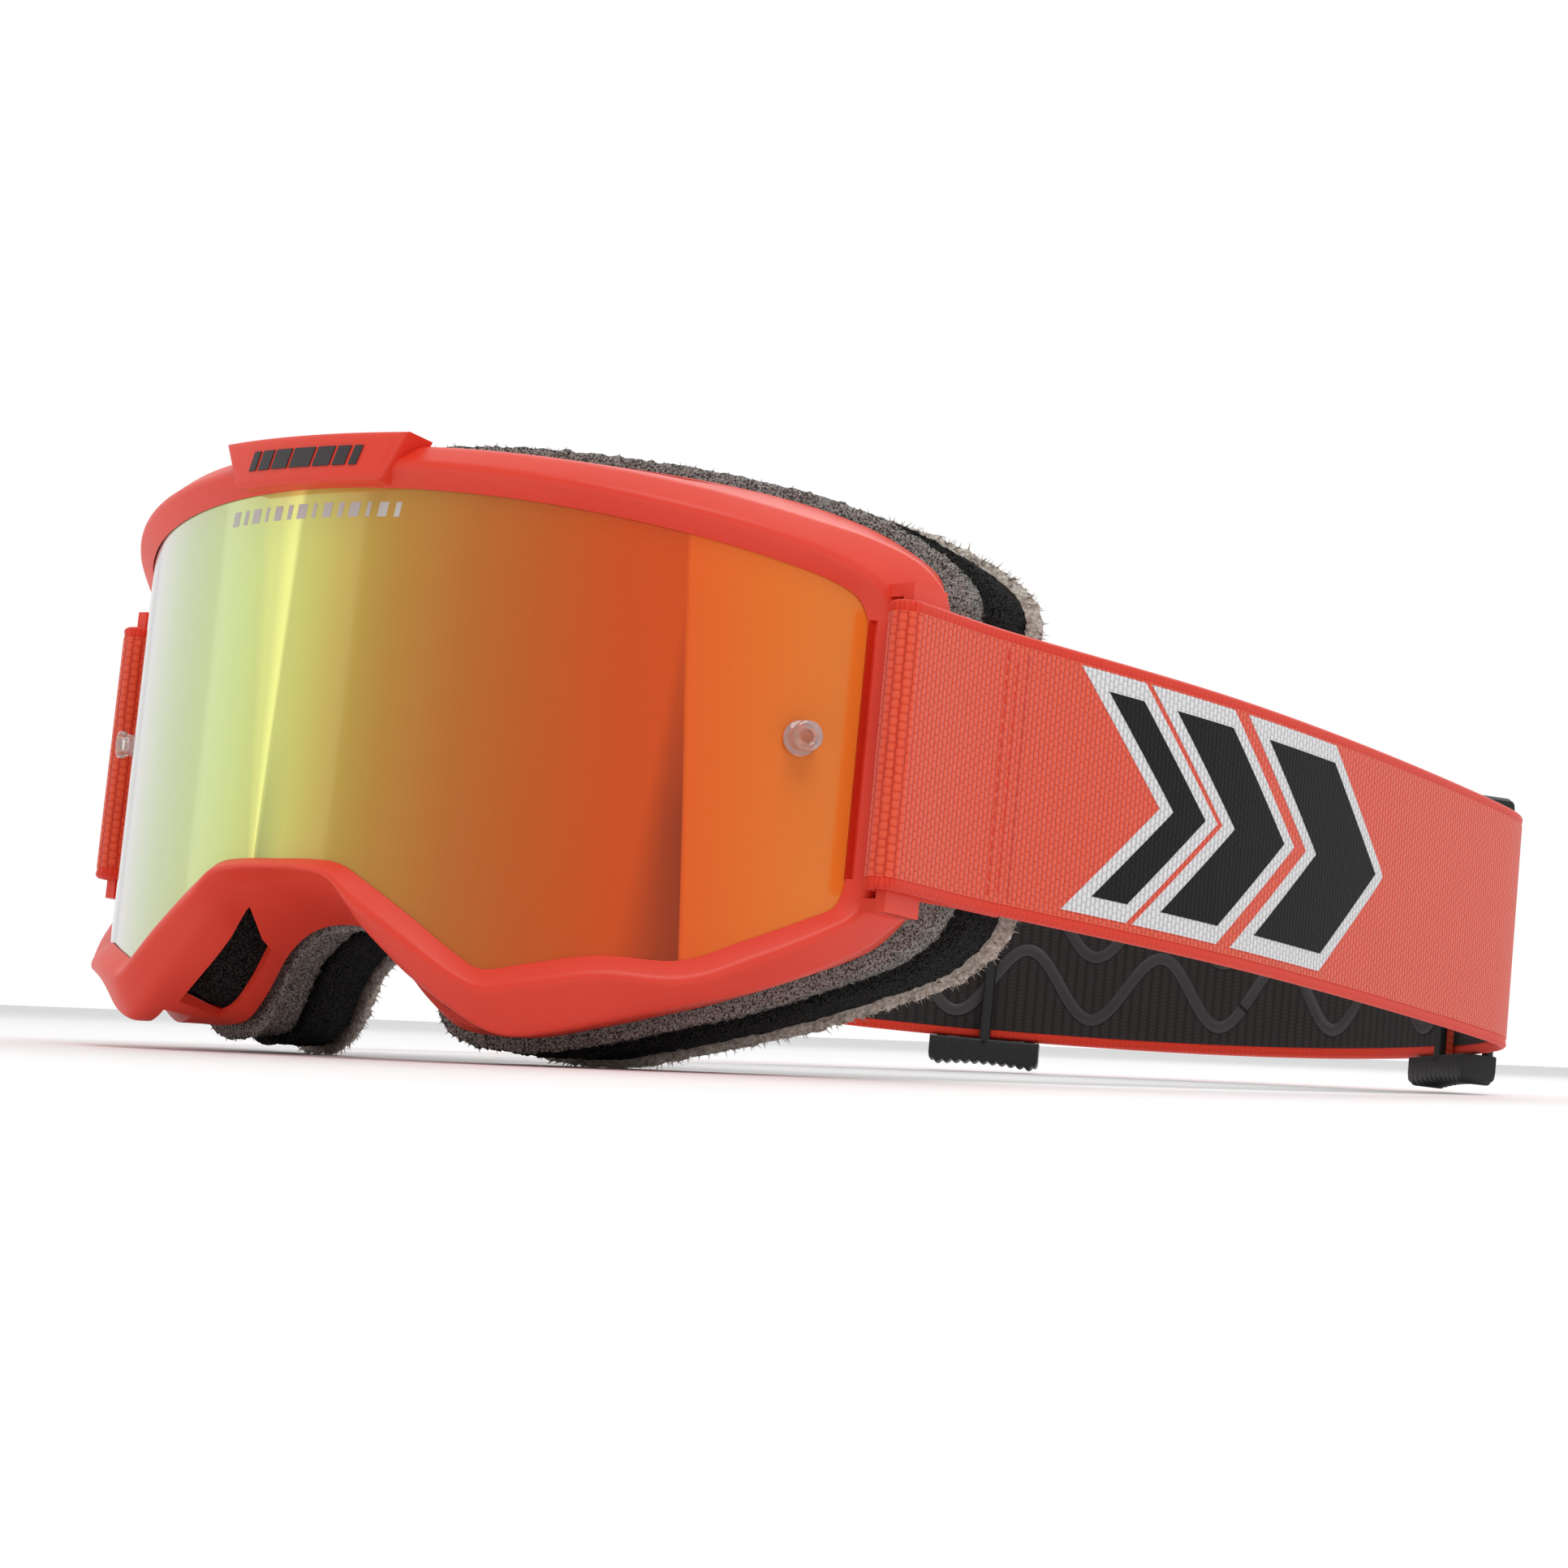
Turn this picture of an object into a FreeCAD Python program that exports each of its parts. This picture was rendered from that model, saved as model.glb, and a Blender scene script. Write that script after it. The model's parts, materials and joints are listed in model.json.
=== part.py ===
import FreeCAD, Part
import os
from math import ceil, cos, degrees, hypot, radians, sin
from FreeCAD import Vector

# Motocross goggles, in millimetres. Everything is drawn as worn: X runs across the face, Y runs
# back from the front of the lens, Z is up and the two lower lobes of the frame end near z = 0.
# lay_down() at the end turns the whole object to the way it lies on a table.

# Lens: part of an upright cylinder. Places on it are (arc, z), arc being the length round its front.
lens_radius = 96.0
lens_thickness = 1.2
lens_half_arc = 103.7        # centre line to the side edge
lens_top = 94.6              # top edge at the centre
lens_drop = 9.0              # how far the top edge falls from the centre to the corners
lens_nose = 29.3             # height of the edge over the nose
nose_half_arc = 14.2
lobe_arc = 42.8              # lowest point of the lens edge on each side of the nose
lobe_height = 12.0
groove_depth = 1.8           # how far the lens reaches into the frame
lens_clearance = 0.15

# Frame: a moulded channel, with a ridged ring in front, an outer wall and a flange behind.
ridge_height = 3.0
ridge_slope = 3.2            # width of the ramp from the lens up to the ridge
ridge_flat = 1.4
edge_drop = 3.0              # the ring's outer edge lies this far inside the lens face
wall = 2.2
flange_width = 9.0
side_flange_width = 14.0     # beside the temples, where the strap's slot takes some of it
flange_thickness = 3.0
station_step = 7.0           # the most that two cross-sections are apart
side_overhang = 2.7          # how far the flange stands outside the lens's side edges
rear_centre = 19.8           # depth of the flange's rear face in the middle
side_depth = 19.5            # how far behind the lens's side edges the flange is at the temples
temple_start = 0.847         # shares of the half width where the channel begins to close, and is full
temple_full = 0.961
drawn_half_arc = 103.7       # the outlines below are drawn for this half arc and half width
drawn_half_width = 87.4

# Brow plate and its badge, on the middle of the ring's top.
brow_half_top = 23.0
brow_half_bottom = 17.5
brow_bottom = 95.2
brow_top = 104.6
brow_height = 4.6            # above the lens face
plug_front = 0.8             # how far in front of the lens the plate's thin lower part starts
plug_bottom = 98.8
badge_depth = 0.8
badge_margin = 1.6

# Tear-off posts, through the lens near both side edges.
post_arc = 93.2
post_height = 56.8
post_radius = 2.1
post_length = 5.0
post_collar_radius = 3.1
post_collar_thickness = 1.1
post_head_radius = 2.7
post_head_length = 1.5
post_bore_radius = 1.3
post_clearance = 0.15

# Vents: a slot in the underside of each lobe, and two in each half of the top wall.
# Each runs between two arcs of the ring's outer edge, and takes up a share of the wall's depth,
# from the ring back to the flange.
lobe_vent = (40.5, 72.0)
lobe_vent_depth = (0.04, 0.55)
nose_vent = (15.5, 36.5)
nose_vent_depth = (0.4, 0.9)
top_vents = ((9.0, 34.0), (40.0, 66.0))
top_vent_depth = (0.25, 0.8)
vent_foam_thickness = 3.0
vent_foam_overlap = 3.0
foam_clearance = 0.15

# Face foam: three layers behind the flange.
foam_layers = (("foam_base", 10.0), ("foam_middle", 12.0), ("face_fleece", 5.0))
foam_width = 14.0
foam_proud = 2.0             # how far the foam stands outside the flange
foam_nose_proud = 0.3
glue_line = 0.45             # between the flange and the foam

# Strap: one webbing per side, both running on behind the head and doubled between the sliders.
strap_width = 50.0
strap_middle = 57.0          # height of its middle
webbing = 1.8
strap_stands_out = 9.6       # from the lens's side edge to the strap's front fold
rear_back = 328.0            # how far back the strap reaches
# The strap's way back: x from the front fold, and the share of the way from the fold to the back.
strap_way = ((3.05, 0.07), (6.45, 0.2), (9.85, 0.333), (9.25, 0.492), (5.05, 0.67), (0.85, 0.787), (-4.15, 0.851))
rear_radius = 117.0          # outer face of the stretch behind the head
corner_angle = 41.0          # the rear arc ends this far round from its middle
strap_split = 160.0          # webbing from the fold to where the sides stop giving way
strap_gap = 0.3              # round the webbing where it runs in the frame
layer_gap = 0.15             # between two layers of webbing
run_step = 4.0               # between the points that a run of webbing is drawn through

# Anchor: the webbing goes round an upright bar beside the frame and back on itself.
bar_length = 10.0
bar_thickness = 2.2
ear_height = 4.0             # of the ears that hold the bar above and below the webbing
ear_reach = 4.0              # how far they run into the frame
slot_margin = 1.2            # room above and below the webbing in the slot
anchor_length = 42.0
tail_meets = 26.0            # where the webbing's end comes back to its outer run
tail_length = 36.0
stitch_length = 7.0          # of the tail's end that is sewn to the outer run

# Sliders: ladder buckles with a ribbed grip above and below the webbing.
slider_left_angle = -32.0    # round the rear arc from its middle
slider_right_angle = 35.0
grip_length = 26.0
grip_height = 6.6
grip_thickness = 8.2
grip_ribs = 12
grip_rib_depth = 0.7
slider_bar = 2.6             # width of the bars across the webbing
outer_bar = 1.8              # thickness of the two on the outside
slider_clearance = 0.35


def on_lens(arc, z, out=0.0):
    """A point `arc` round the lens and `out` in front of its face."""
    turn = arc / lens_radius
    reach = lens_radius + out
    return Vector(reach * sin(turn), lens_radius - reach * cos(turn), z)


side_edge = on_lens(lens_half_arc, 0)
half_width = side_edge.x + side_overhang
strap_front = on_lens(lens_half_arc, 0, strap_stands_out)
strap_bottom = strap_middle - strap_width / 2


def rear_y(x):
    """Depth of the flange's rear face, a parabola across the face."""
    return rear_centre + (side_edge.y + side_depth - rear_centre) * (x / half_width) ** 2


def at_temple(x):
    """0 where the frame is an open channel, rising to 1 at the temples, where its hollow is filled in."""
    return min(1, max(0, (x / half_width - temple_start) / (temple_full - temple_start)))


def top_edge(arc):
    return lens_top - lens_drop * (arc / (drawn_half_arc - 11.2)) ** 2


def outlines():
    """Stations round half of the frame, from the top centre by the side to the nose.

    Each has the lens edge (arc, z), the ring's outer edge (arc, z) and the flange's outer edge (x, z).
    """
    side = drawn_half_arc
    rows = (
        ((0, top_edge(0)), (0, 102.8), (0, 104.8)),
        ((25, top_edge(25)), (25, 102.4), (24.5, 104.6)),
        ((50, top_edge(50)), (50.3, 100.9), (48, 103.2)),
        ((72, top_edge(72)), (72, 98.7), (66, 100.8)),
        ((side - 15.7, top_edge(side - 15.7)), (92, 95.9), (77, 97.4)),
        ((side - 6.7, lens_top - 10.2), (107, 93.5), (83.5, 93.2)),
        ((side - 2.2, lens_top - 12.4), (116.5, 90.2), (86.5, 89.6)),
        ((side, lens_top - 16.6), (121.5, 84.8), (87.2, 84.5)),
        ((side, 70), (122.5, 72), (87.4, 71)),
        ((side, 56), (122.7, 57), (87.4, 57)),
        ((side, 42), (122.5, 43), (87.3, 42.5)),
        ((side, 33), (121, 32.5), (87.0, 32.5)),
        ((side - 1.4, 29), (115.5, 26.6), (84.8, 27)),
        ((side - 5.7, 26.6), (108, 21.0), (81.5, 22.6)),
        ((side - 16.7, 21.4), (92, 13.6), (73.5, 17)),
        ((side - 27.3, 16.8), (77.2, 9.0), (64, 11.6)),
        ((lobe_arc + 19.5, lobe_height + 4.2), (64, 5.0), (54, 7.4)),
        ((lobe_arc + 7.2, lobe_height + 1.6), (54.5, 2.4), (46, 4.6)),
        ((lobe_arc, lobe_height + 0.2), (46.5, 1.4), (39, 2.6)),
        ((lobe_arc - 4.3, lobe_height + 2.2), (38.5, 4.4), (31.5, 2.2)),
        ((29, 20.4), (25.8, 12.6), (25, 3.2)),
        ((20, 25.8), (17.8, 18.6), (19.4, 8)),
        ((nose_half_arc, lens_nose - 0.6), (12.8, 24.2), (14.4, 14.5)),
        ((8, lens_nose), (7, 25.7), (8.2, 18.6)),
        ((0, lens_nose), (0, 26.0), (0, 20)),
    )
    wide = lens_half_arc / drawn_half_arc
    across = half_width / drawn_half_width
    scales = (wide, wide, across)
    return [tuple((place[0] * scale, place[1]) for place, scale in zip(row, scales)) for row in rows]


def eased(before, near, far, after, share):
    """A point between near and far on a smooth curve that also heads for their neighbours."""
    span = hypot(far[0] - near[0], far[1] - near[1])
    start = hypot(far[0] - before[0], far[1] - before[1])
    end = hypot(after[0] - near[0], after[1] - near[1])
    point = []
    for b, n, f, a in zip(before, near, far, after):
        leave = (f - b) / start * span
        arrive = (a - n) / end * span
        curve = (2 * share - 3) * share * share * (n - f) + n
        curve += share * (1 - share) ** 2 * leave - share * share * (1 - share) * arrive
        point.append(curve)
    return tuple(point)


def refined(rows):
    """The stations with smooth ones added between them, no more than station_step apart."""
    mirror = [tuple((-x, z) for x, z in row) for row in (rows[1], rows[-2])]
    every = [mirror[0]] + list(rows) + [mirror[1]]
    result = []
    for before, near, far, after in zip(every, every[1:], every[2:], every[3:]):
        span = max(hypot(f[0] - n[0], f[1] - n[1]) for n, f in zip(near, far))
        count = ceil(span / station_step)
        for n in range(count):
            quads = zip(before, near, far, after)
            result.append(tuple(eased(*quad, n / count) for quad in quads))
    return result + [rows[-1]]


def with_inside(rows):
    """Adds to each station the direction from the flange's outer edge into the face opening."""
    rear = [row[2] for row in rows]
    rear = [(-rear[1][0], rear[1][1])] + rear + [(-rear[-2][0], rear[-2][1])]
    result = []
    for row, before, after in zip(rows, rear, rear[2:]):
        run = hypot(after[0] - before[0], after[1] - before[1])
        result.append(row + (((after[1] - before[1]) / run, (before[0] - after[0]) / run),))
    return result


def inward(station, distance, depth):
    """A point `distance` in from the flange's outer edge and `depth` behind its rear face."""
    rear, inside = station[2:]
    x = rear[0] + inside[0] * distance
    return Vector(x, rear_y(x) + depth, rear[1] + inside[1] * distance)


def towards(start, end, distance):
    """The point `distance` from start on the way to end, in a plane."""
    span = hypot(end[0] - start[0], end[1] - start[1])
    share = distance / span
    return (start[0] + (end[0] - start[0]) * share, start[1] + (end[1] - start[1]) * share)


def flat(place):
    """Where a place on the lens is seen from the front, as (x, z)."""
    return (lens_radius * sin(place[0] / lens_radius), place[1])


def loop(points):
    return Part.makePolygon(list(points) + [points[0]])


def skin(sections):
    """A solid through rings of points: triangles between each ring and the next, and a face at both ends."""
    faces = []
    for near, far in zip(sections, sections[1:]):
        for n in range(len(near)):
            m = (n + 1) % len(near)
            a, b, c, d = near[n], near[m], far[m], far[n]
            halves = ((a, b, c), (a, c, d)) if (a - c).Length < (b - d).Length else ((a, b, d), (b, c, d))
            for corners in halves:
                if (corners[1] - corners[0]).cross(corners[2] - corners[0]).Length > 1e-6:
                    faces.append(Part.Face(loop(corners)))
    for ends in (sections[0], sections[-1]):
        if len(ends) == 4:
            faces.append(Part.Face(loop((ends[0], ends[1], ends[2]))))
            faces.append(Part.Face(loop((ends[0], ends[2], ends[3]))))
        else:
            faces.append(Part.Face(loop(ends)))
    shell = Part.makeShell(faces)
    shell.sewShape()
    solid = Part.makeSolid(shell)
    return solid if solid.Volume > 0 else solid.reversed()


stations = with_inside(refined(outlines()))
widest = max(range(len(stations)), key=lambda n: stations[n][1][0])


def frame_section(station):
    """One cross-section of the frame's channel, with the groove that holds the lens."""
    edge, outer, rear, inside = station
    width = hypot(outer[0] - edge[0], outer[1] - edge[1])
    ramp = min(ridge_slope, 0.42 * width)
    crest = min(ridge_flat, 0.2 * width)
    filled = at_temple(rear[0])
    flange = flange_width + filled * (side_flange_width - flange_width)
    front_wall = (1 - filled) * max(width - wall, 0.3 * width) + filled * 0.35 * width
    rear_wall = (1 - filled) * wall + filled * 0.6 * flange

    def across(distance, out):
        place = towards(edge, outer, distance)
        return on_lens(place[0], place[1], out)

    back = -lens_thickness - lens_clearance
    return (
        across(0, lens_clearance),
        across(ramp, ridge_height),
        across(ramp + crest, ridge_height),
        across(width, -edge_drop),
        inward(station, 0, 0),
        inward(station, flange, 0),
        inward(station, flange, -flange_thickness),
        inward(station, rear_wall, -flange_thickness),
        across(front_wall, -edge_drop - wall),
        across(0.2, back - 2.6),
        across(0, back),
        across(groove_depth + lens_clearance, back),
        across(groove_depth + lens_clearance, lens_clearance),
    )


def stations_between(rows, first, last):
    """The stations whose ring's outer edge is between two arcs, with one made at each end."""
    low, high = sorted((first, last))
    result = []
    for near, far in zip(rows, rows[1:]):
        ends = sorted((near[1][0], far[1][0]))
        for arc in (low, high):
            if ends[0] < arc <= ends[1]:
                share = (arc - near[1][0]) / (far[1][0] - near[1][0])
                pairs = zip(near, far)
                result.append(tuple(tuple(p + (q - p) * share for p, q in zip(n, f)) for n, f in pairs))
        if low < far[1][0] < high:
            result.append(far)
    return sorted(result, key=lambda row: row[1][0])


def wall_point(station, share, depth):
    """A point in the frame's wall: share 0 is at the ring and 1 at the flange, depth is from outside."""
    edge, outer = station[:2]
    width = hypot(outer[0] - edge[0], outer[1] - edge[1])
    place = towards(edge, outer, width - depth)
    front = on_lens(place[0], place[1], -edge_drop - wall)
    return front + (inward(station, depth, -flange_thickness) - front) * share


def wall_band(rows, shares, depths):
    """A solid that follows the wall through some stations."""
    near, far = shares
    low, high = depths
    corners = ((near, low), (far, low), (far, high), (near, high))
    return skin([[wall_point(row, share, depth) for share, depth in corners] for row in rows])


def block(x, y, z):
    """A box from its (low, high) pairs."""
    return Part.makeBox(x[1] - x[0], y[1] - y[0], z[1] - z[0], Vector(x[0], y[0], z[0]))


def lens_plate(outline, low, high):
    """A plate on the lens cylinder, from `low` to `high` in front of its face, with an (arc, z) outline."""
    top = max(z for arc, z in outline)
    bottom = min(z for arc, z in outline)
    centre = Vector(0, lens_radius, bottom - 1)
    shell = Part.makeCylinder(lens_radius + high, top - bottom + 2, centre)
    shell = shell.cut(Part.makeCylinder(lens_radius + low, top - bottom + 2, centre))
    face = Part.Face(loop([Vector(x, -20, z) for x, z in (flat(place) for place in outline)]))
    return shell.common(face.extrude(Vector(0, 20 + lens_radius, 0)))


def lens_outline():
    """The lens's half outline, groove_depth outside the edge that shows."""
    return [towards(edge, outer, groove_depth) for edge, outer, rear, inside in stations]


def mirrored(shape):
    return shape.mirror(Vector(0, 0, 0), Vector(1, 0, 0))


def both_sides(half):
    """A half and its mirror image, joined on the middle plane."""
    return half.fuse(mirrored(half))


# The strap's line in plan. Lengths along it start at the fold in front of the anchor bar.

def strap_curve():
    reach = rear_back - strap_front.y
    way = [(strap_front.x + aside, strap_front.y + reach * share) for aside, share in strap_way]
    arc = []
    for n in range(7):
        turn = radians(corner_angle * (1 - n / 6))
        arc.append((rear_radius * sin(turn), rear_back - rear_radius + rear_radius * cos(turn)))
    half = [(strap_front.x - 0.45, strap_front.y - 4.7), (strap_front.x, strap_front.y)] + way + arc
    points = half + [(-x, y) for x, y in reversed(half[:-1])]
    curve = Part.BSplineCurve()
    curve.interpolate([Vector(x, y, 0) for x, y in points])
    return curve


strap_line = strap_curve()
fold_at = strap_line.parameter(Vector(strap_front.x, strap_front.y, 0))
fold_start = strap_line.length(strap_line.FirstParameter, fold_at)
strap_total = strap_line.length() - 2 * fold_start


def strap_point(along, inside=0.0):
    """A point of the strap's plan, `inside` mm from its outer face."""
    at = strap_line.parameterAtDistance(along + fold_start, strap_line.FirstParameter)
    run = strap_line.tangent(at)[0]
    return strap_line.value(at) + Vector(-run.y, run.x, 0) * inside


slot_bottom = strap_bottom - slot_margin
slot_height = strap_width + 2 * slot_margin
bar_depth = webbing + strap_gap
bar_inner = bar_depth + bar_thickness
tail_depth = bar_inner + strap_gap
slot_depth = tail_depth + webbing + strap_gap
fold_radius = (tail_depth + webbing) / 2


def tail_outside(along):
    """Depth of the webbing's turned-back end: behind the bar first, then close to the outer run."""
    start = fold_radius + bar_length
    share = min(1, max(0, (along - start) / (tail_meets - start)))
    ease = share * share * (3 - 2 * share)
    return tail_depth + (webbing + layer_gap - tail_depth) * ease


def run_line(start, end, depth):
    """A smooth line between two lengths along the strap, at a depth that may be a function of the length."""
    count = max(4, int(abs(end - start) / run_step) + 2)
    lengths = [start + (end - start) * n / (count - 1) for n in range(count)]
    curve = Part.BSplineCurve()
    curve.interpolate([strap_point(a, depth(a) if callable(depth) else depth) for a in lengths])
    return curve.toShape()


def closed_face(edges):
    """A face inside edges that follow one another, with straight joins where they do not meet."""
    ends = [(edge.firstVertex(True).Point, edge.lastVertex(True).Point) for edge in edges]
    every = []
    for n, edge in enumerate(edges):
        every.append(edge)
        leave, arrive = ends[n][1], ends[(n + 1) % len(edges)][0]
        if (leave - arrive).Length > 1e-6:
            every.append(Part.makeLine(leave, arrive))
    return Part.Face(Part.Wire(every))


def upright(face, bottom, height):
    solid = face.extrude(Vector(0, 0, height))
    solid.translate(Vector(0, 0, bottom))
    return solid


def ribbon(start, end, outside, inside, bottom, height):
    """A band of even thickness between two lengths along the strap and two depths."""
    face = closed_face([run_line(start, end, outside), run_line(end, start, inside)])
    return upright(face, bottom, height)


def fold_arc(inside):
    """Half a circle round the front of the bar, from the outer run to the tail."""
    centre = strap_point(fold_radius, fold_radius)
    reach = fold_radius - inside
    front = strap_point(fold_radius, fold_radius - reach)
    middle = strap_point(fold_radius - reach, fold_radius)
    middle = centre + (middle - centre).normalize() * reach
    back = strap_point(fold_radius, fold_radius + reach)
    return Part.Arc(front, middle, back).toShape()


def make_anchor():
    """The right webbing's end, folded round the bar and sewn back on itself."""
    sewn = tail_length - stitch_length
    outside = closed_face([
        run_line(anchor_length, fold_radius, 0),
        fold_arc(0),
        run_line(fold_radius, tail_length, lambda along: tail_outside(along) + webbing),
        run_line(tail_length, anchor_length, webbing),
    ])
    hollow = closed_face([
        run_line(sewn, fold_radius, webbing),
        fold_arc(webbing),
        run_line(fold_radius, sewn, tail_outside),
    ])
    band = upright(outside, strap_bottom, strap_width)
    return band.cut(upright(hollow, strap_bottom - 1, strap_width + 2))


def make_frame():
    channel = skin([frame_section(station) for station in stations])
    slot = ribbon(-strap_gap, anchor_length, -14, slot_depth, slot_bottom, slot_height)
    half = channel.cut(slot)
    held = (fold_radius, fold_radius + bar_length)
    low = slot_bottom - ear_height
    half = half.fuse(ribbon(*held, bar_depth, bar_inner, low, slot_height + 2 * ear_height))
    for bottom in (low, slot_bottom + slot_height):
        half = half.fuse(ribbon(*held, bar_depth, slot_depth + ear_reach, bottom, ear_height))
    through = (-6, wall + 1)
    vents = []
    for ends, depth in ((lobe_vent, lobe_vent_depth), (nose_vent, nose_vent_depth)):
        vents.append(wall_band(stations_between(stations[widest:], *ends), depth, through))
    for ends in top_vents:
        vents.append(wall_band(stations_between(stations[:widest], *ends), top_vent_depth, through))
    return both_sides(half.cut(vents))


def brow_outline(margin=0.0):
    return (
        (-brow_half_top + 1.4 * margin, brow_top - margin),
        (brow_half_top - 1.4 * margin, brow_top - margin),
        (brow_half_bottom - 0.8 * margin, brow_bottom + margin),
        (-brow_half_bottom + 0.8 * margin, brow_bottom + margin),
    )


def make_brow_plate():
    """The plate, with a plug behind its upper part that fills the slope of the ring."""
    front = lens_plate(brow_outline(), plug_front, brow_height)
    plug = lens_plate(brow_outline(), -edge_drop - 1, plug_front)
    above = block((-brow_half_top, brow_half_top), (-20, lens_radius), (plug_bottom, brow_top + 1))
    return front.fuse(plug.common(above)).removeSplitter()


def post_stack(steps):
    """Turned steps (radius, from, to) on the right post's axis, measured out from the lens face."""
    base = on_lens(post_arc, post_height)
    axis = (on_lens(post_arc, post_height, 1) - base).normalize()
    solids = [Part.makeCylinder(r, high - low, base + axis * low, axis) for r, low, high in steps]
    return solids[0].fuse(solids[1:]).removeSplitter() if len(solids) > 1 else solids[0]


def make_post():
    collar = post_collar_thickness
    back = -lens_thickness - post_clearance
    body = post_stack((
        (post_collar_radius, back - collar, back),
        (post_radius, back, post_length),
        (post_collar_radius, post_clearance, collar),
        (post_head_radius, post_length - post_head_length, post_length),
    ))
    return body.cut(post_stack(((post_bore_radius, collar, post_length + 1),)))


def foam_section(station, near, far):
    x, z = station[2]
    over_nose = x < nose_half_arc + 6 and z < lens_nose
    outside = -foam_nose_proud if over_nose else -foam_proud
    corners = ((outside, near), (outside, far), (foam_width + outside, far), (foam_width + outside, near))
    return [inward(station, distance, depth) for distance, depth in corners]


def make_foam(near, far):
    half = skin([foam_section(station, near, far) for station in stations])
    notch = ribbon(0, anchor_length + 20, -20, slot_depth, slot_bottom, slot_height)
    return both_sides(half.cut(notch))


def make_slider(angle):
    """A ladder buckle on the rear arc. It is drawn at the arc's middle and turned into place."""
    face = rear_back
    stack = 2 * webbing + layer_gap
    inner = face - stack - slider_clearance
    lower = strap_bottom - slider_clearance
    upper = strap_bottom + strap_width + slider_clearance
    outside = face + slider_clearance + outer_bar
    depth = (outside - grip_thickness, outside)
    half = grip_length / 2
    grips = []
    for low, high, edge in ((lower - grip_height, lower, -1), (upper, upper + grip_height, 1)):
        grip = block((-half, half), depth, (low, high))
        rim = low if edge < 0 else high
        pitch = grip_length / grip_ribs
        for n in range(grip_ribs - 1):
            x = -half + pitch * (n + 1)
            start = Vector(x, depth[0] - 1, rim)
            groove = Part.makeCylinder(grip_rib_depth, grip_thickness + 2, start, Vector(0, 1, 0))
            grip = grip.cut(groove)
        grips.append(grip)
    rungs = [block((-slider_bar / 2, slider_bar / 2), (depth[0], inner), (lower - 1, upper + 1))]
    for x in (-half + slider_bar, half - slider_bar):
        side = (x - slider_bar / 2, x + slider_bar / 2)
        rungs.append(block(side, (face + slider_clearance, outside), (lower - 1, upper + 1)))
    buckle = grips[0].fuse(grips[1:] + rungs).removeSplitter()
    buckle.rotate(Vector(0, rear_back - rear_radius, 0), Vector(0, 0, 1), -angle)
    return buckle


def rear_length(angle):
    """How far along the strap a place on the rear arc is."""
    return strap_total / 2 - radians(angle) * rear_radius


def make_parts():
    parts = {}
    frame = make_frame()
    plate = make_brow_plate()
    badge = lens_plate(brow_outline(badge_margin), brow_height - badge_depth, brow_height)
    hole = post_stack(((post_radius + post_clearance, -5, 5),))
    outline = lens_outline()
    outline += [(-arc, z) for arc, z in reversed(outline[1:-1])]
    parts["goggle_frame"] = frame.cut([plate, lens_plate(outline, -lens_thickness, 0)])
    parts["lens"] = lens_plate(outline, -lens_thickness, 0).cut([hole, mirrored(hole)])
    parts["brow_plate"] = plate.cut(badge)
    parts["brow_badge"] = badge
    post = make_post()
    parts["tear_off_post_right"] = post
    parts["tear_off_post_left"] = mirrored(post)
    near = glue_line
    for name, thickness in foam_layers:
        parts[name] = make_foam(near, near + thickness)
        near += thickness
    filters = {
        "vent_foam_lobe": (stations[widest:], lobe_vent[0] + vent_foam_overlap, lobe_vent[1]),
        "vent_foam_nose": (stations[widest:], nose_vent[0], nose_vent[1] - vent_foam_overlap),
        "vent_foam_top": (stations[:widest], top_vents[0][0], top_vents[1][1]),
    }
    depths = (wall + foam_clearance, wall + foam_clearance + vent_foam_thickness)
    for name, (rows, first, last) in filters.items():
        ends = (first - vent_foam_overlap, last + vent_foam_overlap)
        foam = wall_band(stations_between(rows, *ends), (0.04, 0.96), depths)
        parts[name + "_right"] = foam
        parts[name + "_left"] = mirrored(foam)
    anchor = make_anchor()
    side = ribbon(anchor_length, strap_split, 0, webbing, strap_bottom, strap_width)
    for name, shape in (("strap_anchor", anchor), ("strap_side", side)):
        parts[name + "_right"] = shape
        parts[name + "_left"] = mirrored(shape)
    parts["strap_rear"] = ribbon(strap_split, strap_total - strap_split, 0, webbing, strap_bottom, strap_width)
    middle = strap_total / 2
    ends = {"left": slider_left_angle, "right": slider_right_angle}
    for side_name, angle in ends.items():
        tail = sorted((rear_length(angle), middle))
        depths = (webbing + layer_gap, 2 * webbing + layer_gap)
        parts["strap_tail_" + side_name] = ribbon(*tail, *depths, strap_bottom, strap_width)
        parts["slider_" + side_name] = make_slider(angle)
    return parts


def lowest(shapes, angle):
    return min(v.Y * sin(angle) + v.Z * cos(angle) for shape in shapes for v in shape.Vertexes)


def lay_down(parts):
    """Turns everything about X until the face and the sliders rest on z = 0, with the origin under the middle."""
    face = [shape for name, shape in parts.items() if "slider" not in name and "strap" not in name]
    rear = [shape for name, shape in parts.items() if "slider" in name]
    low, high = radians(-20), radians(5)
    for n in range(40):
        angle = (low + high) / 2
        if lowest(rear, angle) < lowest(face, angle):
            low = angle
        else:
            high = angle
    for shape in parts.values():
        shape.rotate(Vector(0, 0, 0), Vector(1, 0, 0), degrees(angle))
    box = Part.makeCompound(list(parts.values())).optimalBoundingBox()
    shift = Vector(-box.Center.x, -box.Center.y, -box.ZMin)
    for shape in parts.values():
        shape.translate(shift)
    return degrees(angle), shift


parts = make_parts()
angle, shift = lay_down(parts)
os.makedirs("parts", exist_ok=True)
for name, shape in parts.items():
    shape.exportStep("parts/" + name + ".step")
print("turned by", round(angle, 4), "degrees, then moved by", shift)
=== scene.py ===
import json

import bmesh
import bpy
import numpy as np
from mathutils import Matrix, Vector


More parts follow.
